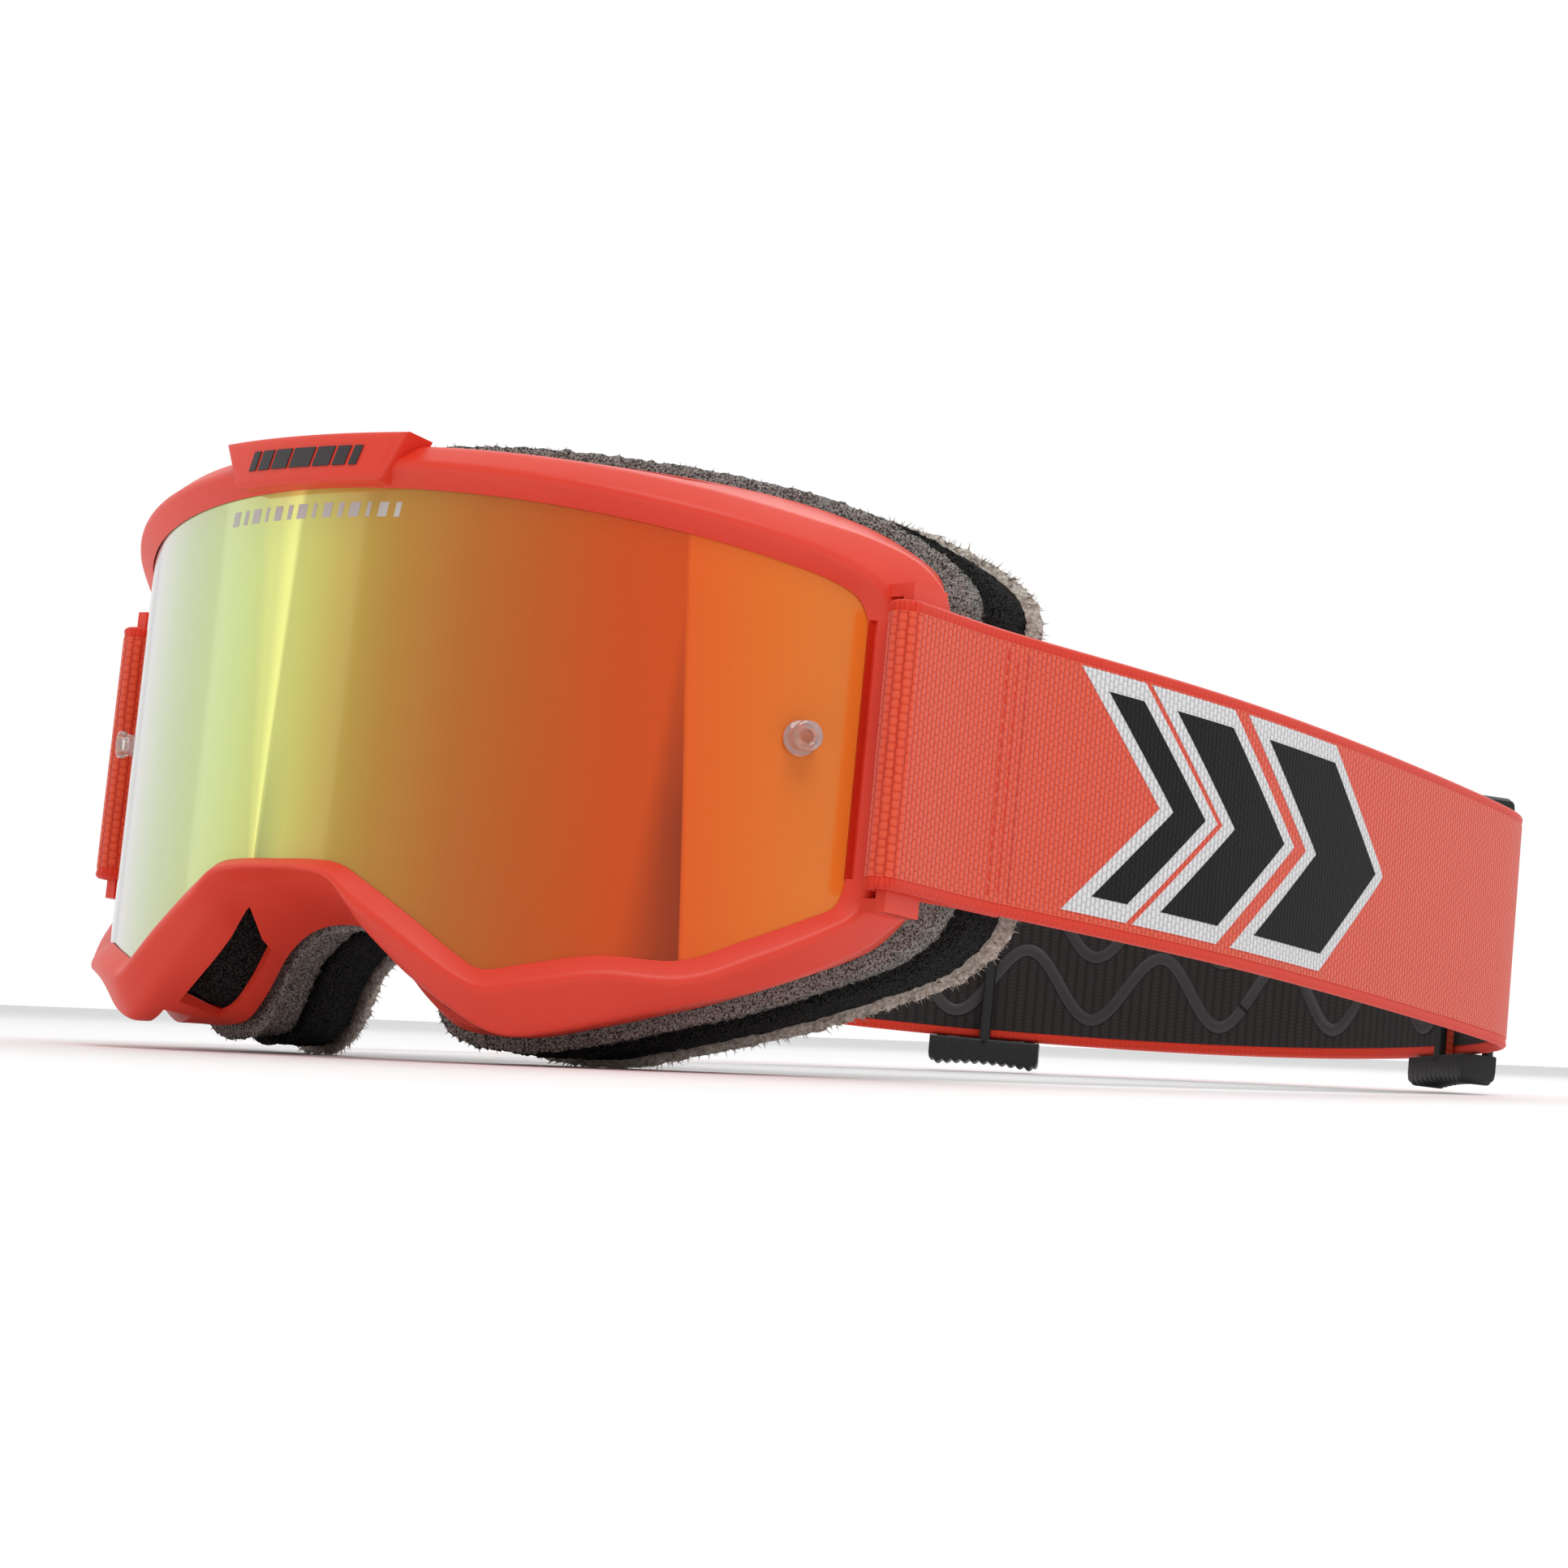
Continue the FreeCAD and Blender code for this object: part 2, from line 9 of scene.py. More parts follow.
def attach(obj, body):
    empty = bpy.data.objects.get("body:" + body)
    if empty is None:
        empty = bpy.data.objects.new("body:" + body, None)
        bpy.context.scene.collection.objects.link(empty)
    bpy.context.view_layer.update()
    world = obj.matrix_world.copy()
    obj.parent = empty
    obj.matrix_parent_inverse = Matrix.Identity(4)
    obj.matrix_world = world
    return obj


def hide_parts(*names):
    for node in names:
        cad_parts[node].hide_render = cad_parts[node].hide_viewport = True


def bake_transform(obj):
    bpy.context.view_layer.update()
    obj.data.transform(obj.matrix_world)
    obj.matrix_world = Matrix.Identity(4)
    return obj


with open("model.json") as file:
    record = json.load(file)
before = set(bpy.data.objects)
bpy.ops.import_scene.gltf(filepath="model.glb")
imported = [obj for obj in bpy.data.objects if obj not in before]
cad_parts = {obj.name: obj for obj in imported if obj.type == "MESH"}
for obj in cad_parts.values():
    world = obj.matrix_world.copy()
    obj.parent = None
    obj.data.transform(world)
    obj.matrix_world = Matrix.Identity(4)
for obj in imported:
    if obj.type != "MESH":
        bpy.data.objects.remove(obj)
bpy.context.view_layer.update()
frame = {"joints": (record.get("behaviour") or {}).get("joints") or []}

# Lengths below are millimetres in the frame the goggles are worn in: X across the face, Y back from
# the front of the lens, Z up. Places on the lens are (arc, z), arc being the length round its front.
LENS_RADIUS = 96.0
LENS_THICK = 1.2
SIDE_ARC = 103.7
SKIN = 2.2                 # the frame's wall
FLANGE, SIDE_FLANGE, FLANGE_THICK = 9.0, 14.0, 3.0
EDGE_DROP = 3.0
REAR_CENTRE, REAR_BOW = 19.8, 0.006607
BROW_BOTTOM, BROW_RISE, BROW_HEIGHT = 94.8, 8.8, 4.6
POST_ARC, POST_Z = 93.2, 56.8
STRAP_BOTTOM, STRAP_TOP = 32.0, 82.0
WEBBING = 1.8
WAVE_MIDDLES, WAVE_SWING, WAVE_PITCH, WAVE_SHIFT, WAVE_HALF = (46.0, 61.0), 7.8, 33.6, 6.0, 1.55
REAR_CENTRE_Y, REAR_RADIUS, REAR_BACK = 211.0, 117.0, 328.0
SPLIT = 160.0
FOLD_OUT = np.array([3.0, 1.0])   # the fold's place from the strap's front: outwards and back
LEFT_ANGLE, RIGHT_ANGLE = -32.0, 35.0
GRIP_LENGTH, GRIP_IN, GRIP_OUT = 26.0, 321.95, 330.15
rng = np.random.default_rng(7)

joints = {joint["name"]: joint for joint in frame["joints"]}
BACK = np.array(joints["strap_length"]["axis"], float)
UP = np.array(joints["left_slider_travel"]["axis"], float)
TURN = np.stack([np.cross(BACK, UP), BACK, UP], 1)
HINGE = np.array(joints["left_slider_travel"]["pos_m"], float)
ORIGIN = HINGE - TURN @ np.array([0.0, REAR_CENTRE_Y, (STRAP_BOTTOM + STRAP_TOP) / 2]) / 1000


def to_row(points):
    """Row frame in metres: origin + turn * (millimetres / 1000)."""
    return ORIGIN + np.asarray(points, float) @ TURN.T / 1000


# ---------------------------------------------------------------- surfaces

def grid_faces(rows, columns, loop_rows=False, loop_columns=False):
    """Faces (r, c), (r, c+1), (r+1, c+1), (r+1, c) of a grid of points, closed round where asked."""
    r, c = np.meshgrid(np.arange(rows if loop_rows else rows - 1),
                       np.arange(columns if loop_columns else columns - 1), indexing="ij")
    near, far = r * columns, (r + 1) % rows * columns
    right = (c + 1) % columns
    return np.stack([near + c, near + right, far + right, far + c], -1).reshape(-1, 4)


def tube(rings, loop=False, caps=True):
    """Closed surface through rings of points (n, k, 3): each ring joined to the next, ends capped."""
    n, k = rings.shape[:2]
    faces = grid_faces(n, k, loop, True).tolist()
    if not loop and caps:
        faces += [list(range(k)), list(range((n - 1) * k, n * k))]
    return rings.reshape(-1, 3), faces


def slab(front, back):
    """Closed sheet: a grid in front, the same grid behind, and a wall along their common border."""
    n, k = front.shape[:2]
    flat = grid_faces(n, k)
    size = n * k
    index = np.arange(size).reshape(n, k)
    rim = np.concatenate([index[0, :], index[1:, -1], index[-1, -2::-1], index[-2:0:-1, 0]])
    after = np.roll(rim, -1)
    wall = np.stack([rim, after, after + size, rim + size], -1)
    faces = np.concatenate([flat, flat[:, ::-1] + size, wall])
    return np.concatenate([front.reshape(-1, 3), back.reshape(-1, 3)]), faces.tolist()


def turned(profile, base, axis, count=48):
    """Surface of revolution: radius and height of a profile, carried round an axis from a base."""
    axis = np.asarray(axis, float) / np.linalg.norm(axis)
    side = np.cross(axis, [0.0, 0.0, 1.0])
    side /= np.linalg.norm(side)
    other = np.cross(axis, side)
    angle = np.linspace(0, 2 * np.pi, count, endpoint=False)[:, None, None]
    radius, height = np.asarray(profile, float).T
    ring = np.cos(angle) * side + np.sin(angle) * other
    points = base + radius[None, :, None] * ring + height[None, :, None] * axis
    return tube(np.swapaxes(points, 0, 1))


def rounded(section, radii, steps=3):
    """Sections (n, k, 3) with each corner replaced by a quadratic Bezier curve of about its radius."""
    before, after = np.roll(section, 1, 1), np.roll(section, -1, 1)
    to_before, to_after = before - section, after - section
    near = np.linalg.norm(to_before, axis=2, keepdims=True) + 1e-9
    far = np.linalg.norm(to_after, axis=2, keepdims=True) + 1e-9
    reach = np.minimum(np.minimum(np.asarray(radii, float)[None, :, None], 0.46 * near), 0.46 * far)
    start, end = section + to_before / near * reach, section + to_after / far * reach
    t = np.linspace(0, 1, steps + 1)[None, None, :, None]
    curve = (1 - t) ** 2 * start[:, :, None] + 2 * t * (1 - t) * section[:, :, None] + t * t * end[:, :, None]
    return curve.reshape(section.shape[0], -1, 3)


def make(name, bits, paints, crisp=35.0):
    """One mesh from closed surfaces (points, faces, paint, uv); paint may be given per face."""
    points, faces, paint, places = [], [], [], []
    count = 0
    for shape, corners, colour, uv in bits:
        points.append(to_row(shape))
        faces += [[count + v for v in face] for face in corners]
        paint.append(np.broadcast_to(colour, len(corners)))
        places.append(np.zeros((len(shape), 2)) if uv is None else uv)
        count += len(shape)
    mesh = bpy.data.meshes.new(name)
    mesh.from_pydata(np.concatenate(points).tolist(), [], faces)
    mesh.polygons.foreach_set("material_index", np.concatenate(paint).astype(np.int32))
    loops = np.zeros(len(mesh.loops), np.int32)
    mesh.loops.foreach_get("vertex_index", loops)
    mesh.uv_layers.new(name="cloth").data.foreach_set("uv", np.concatenate(places)[loops].ravel())
    obj = bpy.data.objects.new(name, mesh)
    bpy.context.scene.collection.objects.link(obj)
    for material in paints:
        mesh.materials.append(material)
    face_out(obj, crisp)
    return obj


def face_out(obj, crisp=35.0):
    """Faces turned outwards, smooth shading, and sharp edges where faces meet at more than an angle."""
    work = bmesh.new()
    work.from_mesh(obj.data)
    bmesh.ops.recalc_face_normals(work, faces=work.faces)
    work.to_mesh(obj.data)
    work.free()
    obj.data.polygons.foreach_set("use_smooth", np.ones(len(obj.data.polygons), bool))
    obj.data.set_sharp_from_angle(angle=np.radians(crisp))


def carve(obj, cutters, crisp=35.0):
    """Takes closed cutters away from a closed piece and keeps the result as its mesh."""
    tool = make("cutter", [(p, f, 0, None) for p, f in cutters], [obj.data.materials[0]])
    cut = obj.modifiers.new("cut", "BOOLEAN")
    cut.operation, cut.solver, cut.object = "DIFFERENCE", "EXACT", tool
    shape = bpy.data.meshes.new_from_object(obj.evaluated_get(bpy.context.evaluated_depsgraph_get()))
    obj.modifiers.clear()
    old, obj.data = obj.data, shape
    bpy.data.meshes.remove(old)
    bpy.data.objects.remove(tool)
    face_out(obj, crisp)


def settle(obj, body, nodes=(), span=None):
    """Parents a finished piece to the body it rides on, or, given a span, only bakes its transform into its
    mesh; hides the nodes it stands for.
    """
    if span:
        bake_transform(obj)
    else:
        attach(obj, body)
    if nodes:
        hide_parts(*nodes)
    return obj


# ---------------------------------------------------------------- outlines of the frame

def on_lens(arc, z, out=0.0):
    """Cylinder: angle = arc / radius; x = reach sin, y = radius - reach cos, with reach = radius + out."""
    arc, z, out = np.broadcast_arrays(arc, z, out)
    reach = LENS_RADIUS + out
    angle = arc / LENS_RADIUS
    return np.stack([reach * np.sin(angle), LENS_RADIUS - reach * np.cos(angle), z], -1)


def lens_top(arc):
    """Top edge of the lens: a parabola that falls 9 mm from the centre to the corners."""
    return 94.6 - 9.0 * (arc / 92.5) ** 2


# Half of the frame from the top centre by the side to the nose. Each row has the lens edge
# (arc, z), the ring's outer edge (arc, z) and the flange's outer edge (x, z).
OUTLINE = np.array([
    (0, lens_top(0), 0, 102.8, 0, 104.8), (25, lens_top(25), 25, 102.4, 24.5, 104.6),
    (50, lens_top(50), 50.3, 100.9, 48, 103.2), (72, lens_top(72), 72, 98.7, 66, 100.8),
    (88, lens_top(88), 92, 95.9, 77, 97.4), (97, 84.4, 107, 93.5, 83.5, 93.2),
    (101.5, 82.2, 116.5, 90.2, 86.5, 89.6), (103.7, 78, 121.5, 84.8, 87.2, 84.5),
    (103.7, 70, 122.5, 72, 87.4, 71), (103.7, 56, 122.7, 57, 87.4, 57),
    (103.7, 42, 122.5, 43, 87.3, 42.5), (103.7, 33, 121, 32.5, 87, 32.5),
    (102.3, 29, 115.5, 26.6, 84.8, 27), (98, 26.6, 108, 21, 81.5, 22.6),
    (87, 21.4, 92, 13.6, 73.5, 17), (76.4, 16.8, 77.2, 9, 64, 11.6),
    (62.3, 16.2, 64, 5, 54, 7.4), (50, 13.6, 54.5, 2.4, 46, 4.6),
    (42.8, 12.2, 46.5, 1.4, 39, 2.6), (38.5, 14.2, 38.5, 4.4, 31.5, 2.2),
    (29, 20.4, 25.8, 12.6, 25, 3.2), (20, 25.8, 17.8, 18.6, 19.4, 8),
    (14.2, 28.7, 12.8, 24.2, 14.4, 14.5), (8, 29.3, 7, 25.7, 8.2, 18.6),
    (0, 29.3, 0, 26, 0, 20)], float)


def stations(step):
    """Smooth stations no more than `step` apart, on Hermite curves through the outline's rows.

    A point at share s is n + s^2 (3 - 2s) (f - n) + s (1-s)^2 leave - s^2 (1-s) arrive, where n and f
    are the rows before and after it, and leave and arrive are the slopes there.
    """
    flip = np.tile([-1.0, 1.0], 3)
    rows = np.concatenate([OUTLINE[1:2] * flip, OUTLINE, OUTLINE[-2:-1] * flip]).reshape(-1, 3, 2)
    b, n, f, a = rows[:-3], rows[1:-2], rows[2:-1], rows[3:]
    span = np.linalg.norm(f - n, axis=2, keepdims=True)
    leave = (f - b) / np.linalg.norm(f - b, axis=2, keepdims=True) * span
    arrive = (a - n) / np.linalg.norm(a - n, axis=2, keepdims=True) * span
    counts = np.ceil(span.max(axis=(1, 2)) / step).astype(int)
    piece = np.repeat(np.arange(len(counts)), counts)
    s = (np.arange(len(piece)) - np.repeat(np.cumsum(counts) - counts, counts)) / counts[piece]
    s = s[:, None, None]
    n, f, leave, arrive = n[piece], f[piece], leave[piece], arrive[piece]
    half = n + s * s * (3 - 2 * s) * (f - n) + s * (1 - s) ** 2 * leave - s * s * (1 - s) * arrive
    return np.concatenate([half, rows[-2:-1]])


def whole(half):
    """The other half joined on, by turning the first coordinate round, as a closed loop."""
    other = half[-2:0:-1] * np.array([-1.0, 1.0])
    return np.concatenate([half, other])


def inside_way(rear):
    """Direction from the flange's outer edge into the face: the loop's tangent turned a quarter."""
    run = np.roll(rear, -1, 0) - np.roll(rear, 1, 0)
    run /= np.linalg.norm(run, axis=1, keepdims=True)
    return np.stack([run[:, 1], -run[:, 0]], 1)


def inward(rear, inside, distance, depth):
    """Point `distance` in from the flange's outer edge, `depth` behind y = centre + bow x^2."""
    place = rear + inside * np.reshape(distance, (-1, 1))
    y = REAR_CENTRE + REAR_BOW * place[:, 0] ** 2 + depth
    return np.stack([place[:, 0], y, place[:, 1]], 1)


def frame_sections(step):
    """The channel's cross-section at every station: lip, ramp, ridge, outer wall, flange, groove."""
    loop = whole(stations(step))
    edge, outer, rear = loop[:, 0], loop[:, 1], loop[:, 2]
    inside = inside_way(rear)
    gap = outer - edge
    width = np.linalg.norm(gap, axis=1)
    across = gap / width[:, None]
    ramp, crest = np.minimum(3.2, 0.42 * width), np.minimum(1.4, 0.2 * width)
    filled = np.clip((np.abs(rear[:, 0]) / 87.4 - 0.847) / 0.114, 0, 1)
    flange = FLANGE + filled * (SIDE_FLANGE - FLANGE)
    front_wall = (1 - filled) * np.maximum(width - SKIN, 0.3 * width) + filled * 0.35 * width
    rear_wall = (1 - filled) * SKIN + filled * 0.6 * flange

    def ring(distance, out):
        place = edge + across * np.reshape(distance, (-1, 1))
        return on_lens(place[:, 0], place[:, 1], out)

    back = -LENS_THICK - 0.15
    lip = ring(0, 0.15)
    outer_edge, flange_edge = ring(width, -EDGE_DROP), inward(rear, inside, 0, 0)
    points = [
        lip, ring(ramp, 3.0), ring(ramp + crest, 3.0), ring(width - 0.6, -1.2), outer_edge,
        flange_edge, inward(rear, inside, flange, 0), inward(rear, inside, flange, -FLANGE_THICK),
        inward(rear, inside, rear_wall, -FLANGE_THICK), ring(front_wall, -EDGE_DROP - SKIN),
        ring(0.2, back - 2.6), ring(0, back), ring(1.95, back), ring(1.95, 0.15)]
    return np.stack(points, 1)


FRAME_RADII = (0.3, 1.0, 1.0, 0.9, 0.9, 1.0, 0.9, 0.5, 0.8, 0.8, 0.4, 0.1, 0.1, 0.1)


def between(first, last, top, step=2.0):
    """Stations of half the frame whose ring's outer edge lies between two arcs, above or below the side."""
    half = stations(step)
    widest = int(np.argmax(half[:, 1, 0]))
    rows = half[:widest] if top else half[widest:][::-1]
    arcs = np.linspace(first, last, max(3, int(abs(last - first) / step)))
    keep = rows[:, 1, 0]
    flat = rows.reshape(len(rows), -1)
    return np.stack([np.interp(arcs, keep, column) for column in flat.T], 1).reshape(-1, 3, 2)


def wall_band(rows, shares, depths):
    """A closed band in the outer wall: share 0 at the ring, 1 at the flange; depth from outside."""
    edge, outer, rear = rows[:, 0], rows[:, 1], rows[:, 2]
    inside = inside_way(rear)
    inside[0], inside[-1] = inside[1], inside[-2]
    inside *= np.sign((inside * ([0, 55] - rear)).sum(1, keepdims=True))
    across = (outer - edge) / np.linalg.norm(outer - edge, axis=1, keepdims=True)
    corners = []
    (ring_end, flange_end), (outer_side, inner_side) = shares, depths
    for share, depth in ((ring_end, outer_side), (flange_end, outer_side),
                         (flange_end, inner_side), (ring_end, inner_side)):
        place = outer - across * depth
        front = on_lens(place[:, 0], place[:, 1], -EDGE_DROP - SKIN)
        rear_point = inward(rear, inside, depth, -FLANGE_THICK)
        corners.append(front + (rear_point - front) * share)
    return np.stack(corners, 1)


def flipped(points):
    """The mirror image across the middle plane."""
    return points * np.array([-1.0, 1.0, 1.0])


# ---------------------------------------------------------------- the strap's line

# Places on the strap's line: mm further out than its front, and share of the way to its back.
STRAP_WAY = ((3.05, 0.07), (6.45, 0.2), (9.85, 0.333), (9.25, 0.492), (5.05, 0.67),
             (0.85, 0.787), (-4.15, 0.851))


def strap_plan():
    """Natural cubic spline through the strap's places in plan, as dense points and lengths along it."""
    front = on_lens(SIDE_ARC, 0, 9.6)[:2]
    way = np.array(STRAP_WAY)
    way = np.stack([front[0] + way[:, 0], front[1] + (REAR_BACK - front[1]) * way[:, 1]], 1)
    turn = np.radians(41.0 * (1 - np.arange(7) / 6))
    arc = np.stack([REAR_RADIUS * np.sin(turn), REAR_CENTRE_Y + REAR_RADIUS * np.cos(turn)], 1)
    front = front + FOLD_OUT
    half = np.vstack([front - [0.45, 4.7], front, way, arc])
    knots = np.vstack([half, half[-2::-1] * [-1, 1]])
    t = np.r_[0, np.cumsum(np.linalg.norm(np.diff(knots, axis=0), axis=1))]
    h, count = np.diff(t), len(knots)
    system, bend = np.eye(count), np.zeros((count, 2))
    i = np.arange(1, count - 1)
    system[i, i - 1], system[i, i], system[i, i + 1] = h[:-1], 2 * (h[:-1] + h[1:]), h[1:]
    slope = np.diff(knots, axis=0) / h[:, None]
    bend[1:-1] = 6 * np.diff(slope, axis=0)
    bend = np.linalg.solve(system, bend)
    u = np.linspace(0, t[-1], 6001)
    k = np.clip(np.searchsorted(t, u, side="right") - 1, 0, count - 2)
    a, b, gap = (t[k + 1] - u)[:, None], (u - t[k])[:, None], h[k][:, None]
    line = (bend[k] * a ** 3 + bend[k + 1] * b ** 3) / (6 * gap)
    line += (knots[k] / gap - bend[k] * gap / 6) * a + (knots[k + 1] / gap - bend[k + 1] * gap / 6) * b
    length = np.r_[0, np.cumsum(np.linalg.norm(np.diff(line, axis=0), axis=1))]
    length -= length[np.argmin(np.linalg.norm(line - front, axis=1))]
    return line, length


PLAN, ALONG = strap_plan()
TOTAL = ALONG[-1] + ALONG[0]
RUN = np.gradient(PLAN, ALONG, axis=0)
RUN /= np.linalg.norm(RUN, axis=1, keepdims=True)


def on_strap(along, depth, z):
    """Point at a length along the strap's outer face, `depth` inside it, at height z."""
    along, depth, z = np.broadcast_arrays(along, depth, z)
    x, y = (np.interp(along, ALONG, PLAN[:, n]) for n in (0, 1))
    tx, ty = (np.interp(along, ALONG, RUN[:, n]) for n in (0, 1))
    return np.stack([x - ty * depth, y + tx * depth, z], -1)


def strap_block(along, depth, z):
    """A closed block between two lengths along the strap, two depths and two heights."""
    runs = np.linspace(*along, max(2, int(abs(along[1] - along[0]) / 3) + 1))
    corners = [(depth[0], z[0]), (depth[1], z[0]), (depth[1], z[1]), (depth[0], z[1])]
    return tube(np.stack([on_strap(runs, d, h) for d, h in corners], 1))


def band_profile(bottom, top, across=24):
    """The webbing's cross-section (offset, z): two flat faces and a round piped edge along each side."""
    faces = np.linspace(bottom + 2.1, top - 2.1, across)
    arc = np.linspace(0.42 * np.pi, -0.42 * np.pi, 9)
    bead = np.stack([0.98 * np.sin(arc), 0.98 * np.cos(arc)], 1)
    outer = np.stack([np.full(across, 0.9), faces], 1)
    inner = np.stack([np.full(across, -0.9), faces[::-1]], 1)
    upper = np.concatenate([[(0.74, top - 2.0)], bead + [0, top - 0.98], [(-0.74, top - 2.0)]])
    lower = np.concatenate([[(-0.74, bottom + 2.0)], -bead + [0, bottom + 0.98], [(0.74, bottom + 2.0)]])
    profile = np.concatenate([outer, upper, inner, lower])
    side = np.concatenate([np.zeros(across - 1), np.ones(len(upper) + 1),
                           np.full(across - 1, 2), np.ones(len(lower) + 1)])
    return profile, side.astype(int)


def webbing(path, bottom=STRAP_BOTTOM, top=STRAP_TOP, across=24):
    """Webbing along a path of (along, depth): profile offset along the path's normal; uv in mm."""
    path = np.asarray(path, float)
    run = np.gradient(path, axis=0)
    run /= np.linalg.norm(run, axis=1, keepdims=True)
    profile, side = band_profile(bottom, top, across)
    along = path[:, 0, None] + run[:, 1, None] * profile[None, :, 0]
    depth = path[:, 1, None] - run[:, 0, None] * profile[None, :, 0]
    points, faces = tube(on_strap(along, depth, profile[None, :, 1]))
    length = np.r_[0, np.cumsum(np.linalg.norm(np.diff(path, axis=0), axis=1))]
    length += path[-1, 0] - length[-1]
    uv = np.stack(np.broadcast_arrays(length[:, None], profile[None, :, 1]), -1).reshape(-1, 2)
    paint = np.concatenate([np.tile(side, len(path) - 1), [0, 0]])
    return points, faces, paint, uv


def waves(first, last, depth=WEBBING, step=1.0):
    """Silicone lines inside: z = middle - swing cos(2 pi (along - half the strap - shift) / pitch)."""
    along = np.arange(first, last, step)
    bits = []
    for middle in WAVE_MIDDLES:
        phase = 2 * np.pi * (along - TOTAL / 2 - WAVE_SHIFT) / WAVE_PITCH
        z = middle - WAVE_SWING * np.cos(phase)
        slope = WAVE_SWING * 2 * np.pi / WAVE_PITCH * np.sin(phase)
        size = np.hypot(1, slope)
        round_ = np.linspace(0, np.pi, 7)
        side = np.concatenate([WAVE_HALF * np.cos(round_), [-WAVE_HALF, WAVE_HALF]])
        rise = np.concatenate([0.5 * np.sin(round_) ** 0.6, [-0.2, -0.2]])
        a = along[:, None] - (slope / size)[:, None] * side
        h = z[:, None] + (1 / size)[:, None] * side
        points, faces = tube(on_strap(a, depth + np.maximum(rise, -0.2), h))
        uv = np.stack([np.broadcast_to(along[:, None], a.shape), np.broadcast_to(side, a.shape)], -1)
        bits.append((points, faces, uv.reshape(-1, 2)))
    return bits


# ---------------------------------------------------------------- materials

def srgb(r, g, b):
    """Linear colour from 0-255 screen values."""
    c = np.array([r, g, b], float) / 255
    return (*np.where(c <= 0.04045, c / 12.92, ((c + 0.055) / 1.055) ** 2.4).tolist(), 1.0)


def greys(*stops):
    """Ramp stops of plain greys, from pairs of place and level."""
    return [(place, (level, level, level, 1)) for place, level in stops]


class Finish:
    """A node material with a Principled shader and short ways to add nodes to it."""

    def __init__(self, name, **values):
        self.material = bpy.data.materials.new(name)
        self.material.use_nodes = True
        self.tree = self.material.node_tree
        self.shader = self.tree.nodes["Principled BSDF"]
        for key, value in values.items():
            self.shader.inputs[key.replace("_", " ")].default_value = value

    def node(self, kind, values=(), **settings):
        made = self.tree.nodes.new("ShaderNode" + kind)
        for key, value in settings.items():
            setattr(made, key, value)
        for key, value in dict(values).items():
            if isinstance(value, bpy.types.NodeSocket):
                self.tree.links.new(value, made.inputs[key])
            else:
                made.inputs[key].default_value = value
        return made

    def place(self, cloth=False):
        return self.node("TexCoord").outputs["UV" if cloth else "Object"]

    def math(self, operation, *values):
        return self.node("Math", dict(enumerate(values)), operation=operation).outputs[0]

    def noise(self, where, scale, detail=2.0, rough=0.5):
        values = {"Vector": where, "Scale": scale, "Detail": detail, "Roughness": rough}
        return self.node("TexNoise", values).outputs[0]

    def ramp(self, factor, stops, mode="LINEAR"):
        made = self.node("ValToRGB", {"Fac": factor})
        made.color_ramp.interpolation = mode
        while len(made.color_ramp.elements) < len(stops):
            made.color_ramp.elements.new(0.5)
        for element, (position, colour) in zip(made.color_ramp.elements, stops):
            element.position, element.color = position, colour
        return made.outputs[0]

    def mix(self, factor, a, b, blend="MIX"):
        made = self.node("Mix", data_type="RGBA", blend_type=blend)
        for key, value in ((0, factor), (6, a), (7, b)):
            if isinstance(value, bpy.types.NodeSocket):
                self.tree.links.new(value, made.inputs[key])
            else:
                made.inputs[key].default_value = value
        return made.outputs[2]

    def feed(self, socket, value):
        self.tree.links.new(value, self.shader.inputs[socket])

    def bump(self, height, distance, strength=1.0, under=None):
        values = {"Height": height, "Distance": distance, "Strength": strength}
        if under is not None:
            values["Normal"] = under
        made = self.node("Bump", values).outputs[0]
        self.feed("Normal", made)
        return made


def worn_way(finish):
    """The place in the frame the goggles are worn in, in mm: the row's place turned back."""
    moved = finish.node("VectorMath", {0: finish.place(), 1: tuple(ORIGIN)}, operation="SUBTRACT").outputs[0]
    parts = []
    for axis in TURN.T:
        dot = finish.node("VectorMath", {0: moved, 1: tuple(axis * 1000)}, operation="DOT_PRODUCT")
        parts.append(dot.outputs["Value"])
    return parts


def moulded(name, colour, lift, rough=0.42, grain=0.00004):
    """Moulded plastic: slow colour drift, fine mould grain in bump and roughness."""
    f = Finish(name, Roughness=rough, IOR=1.5)
    where = f.place()
    drift = f.noise(where, 28.0, 3.0)
    f.feed("Base Color", f.ramp(drift, [(0.3, colour), (0.7, lift)]))
    fine = f.noise(where, 2600.0, 2.0)
    f.feed("Roughness", f.math("MULTIPLY_ADD", fine, 0.12, rough - 0.06))
    f.bump(fine, grain, 0.35)
    return f.material


def foam_finish(name, dark, light, scale, depth, share=0.5):
    """Open-cell foam: cells of two sizes in colour and bump."""
    f = Finish(name, Roughness=1.0, Specular_IOR_Level=0.1)
    where = f.place()
    grain = f.noise(where, scale, 3.0, 0.75)
    cells = f.node("TexVoronoi", {"Vector": where, "Scale": scale * 0.8}).outputs["Distance"]
    mixed = f.math("MULTIPLY_ADD", cells, -0.35, f.math("ADD", grain, 0.18))
    f.feed("Base Color", f.ramp(mixed, [(share - 0.13, dark), (share + 0.13, light)]))
    f.bump(mixed, depth, 1.0)
    return f.material


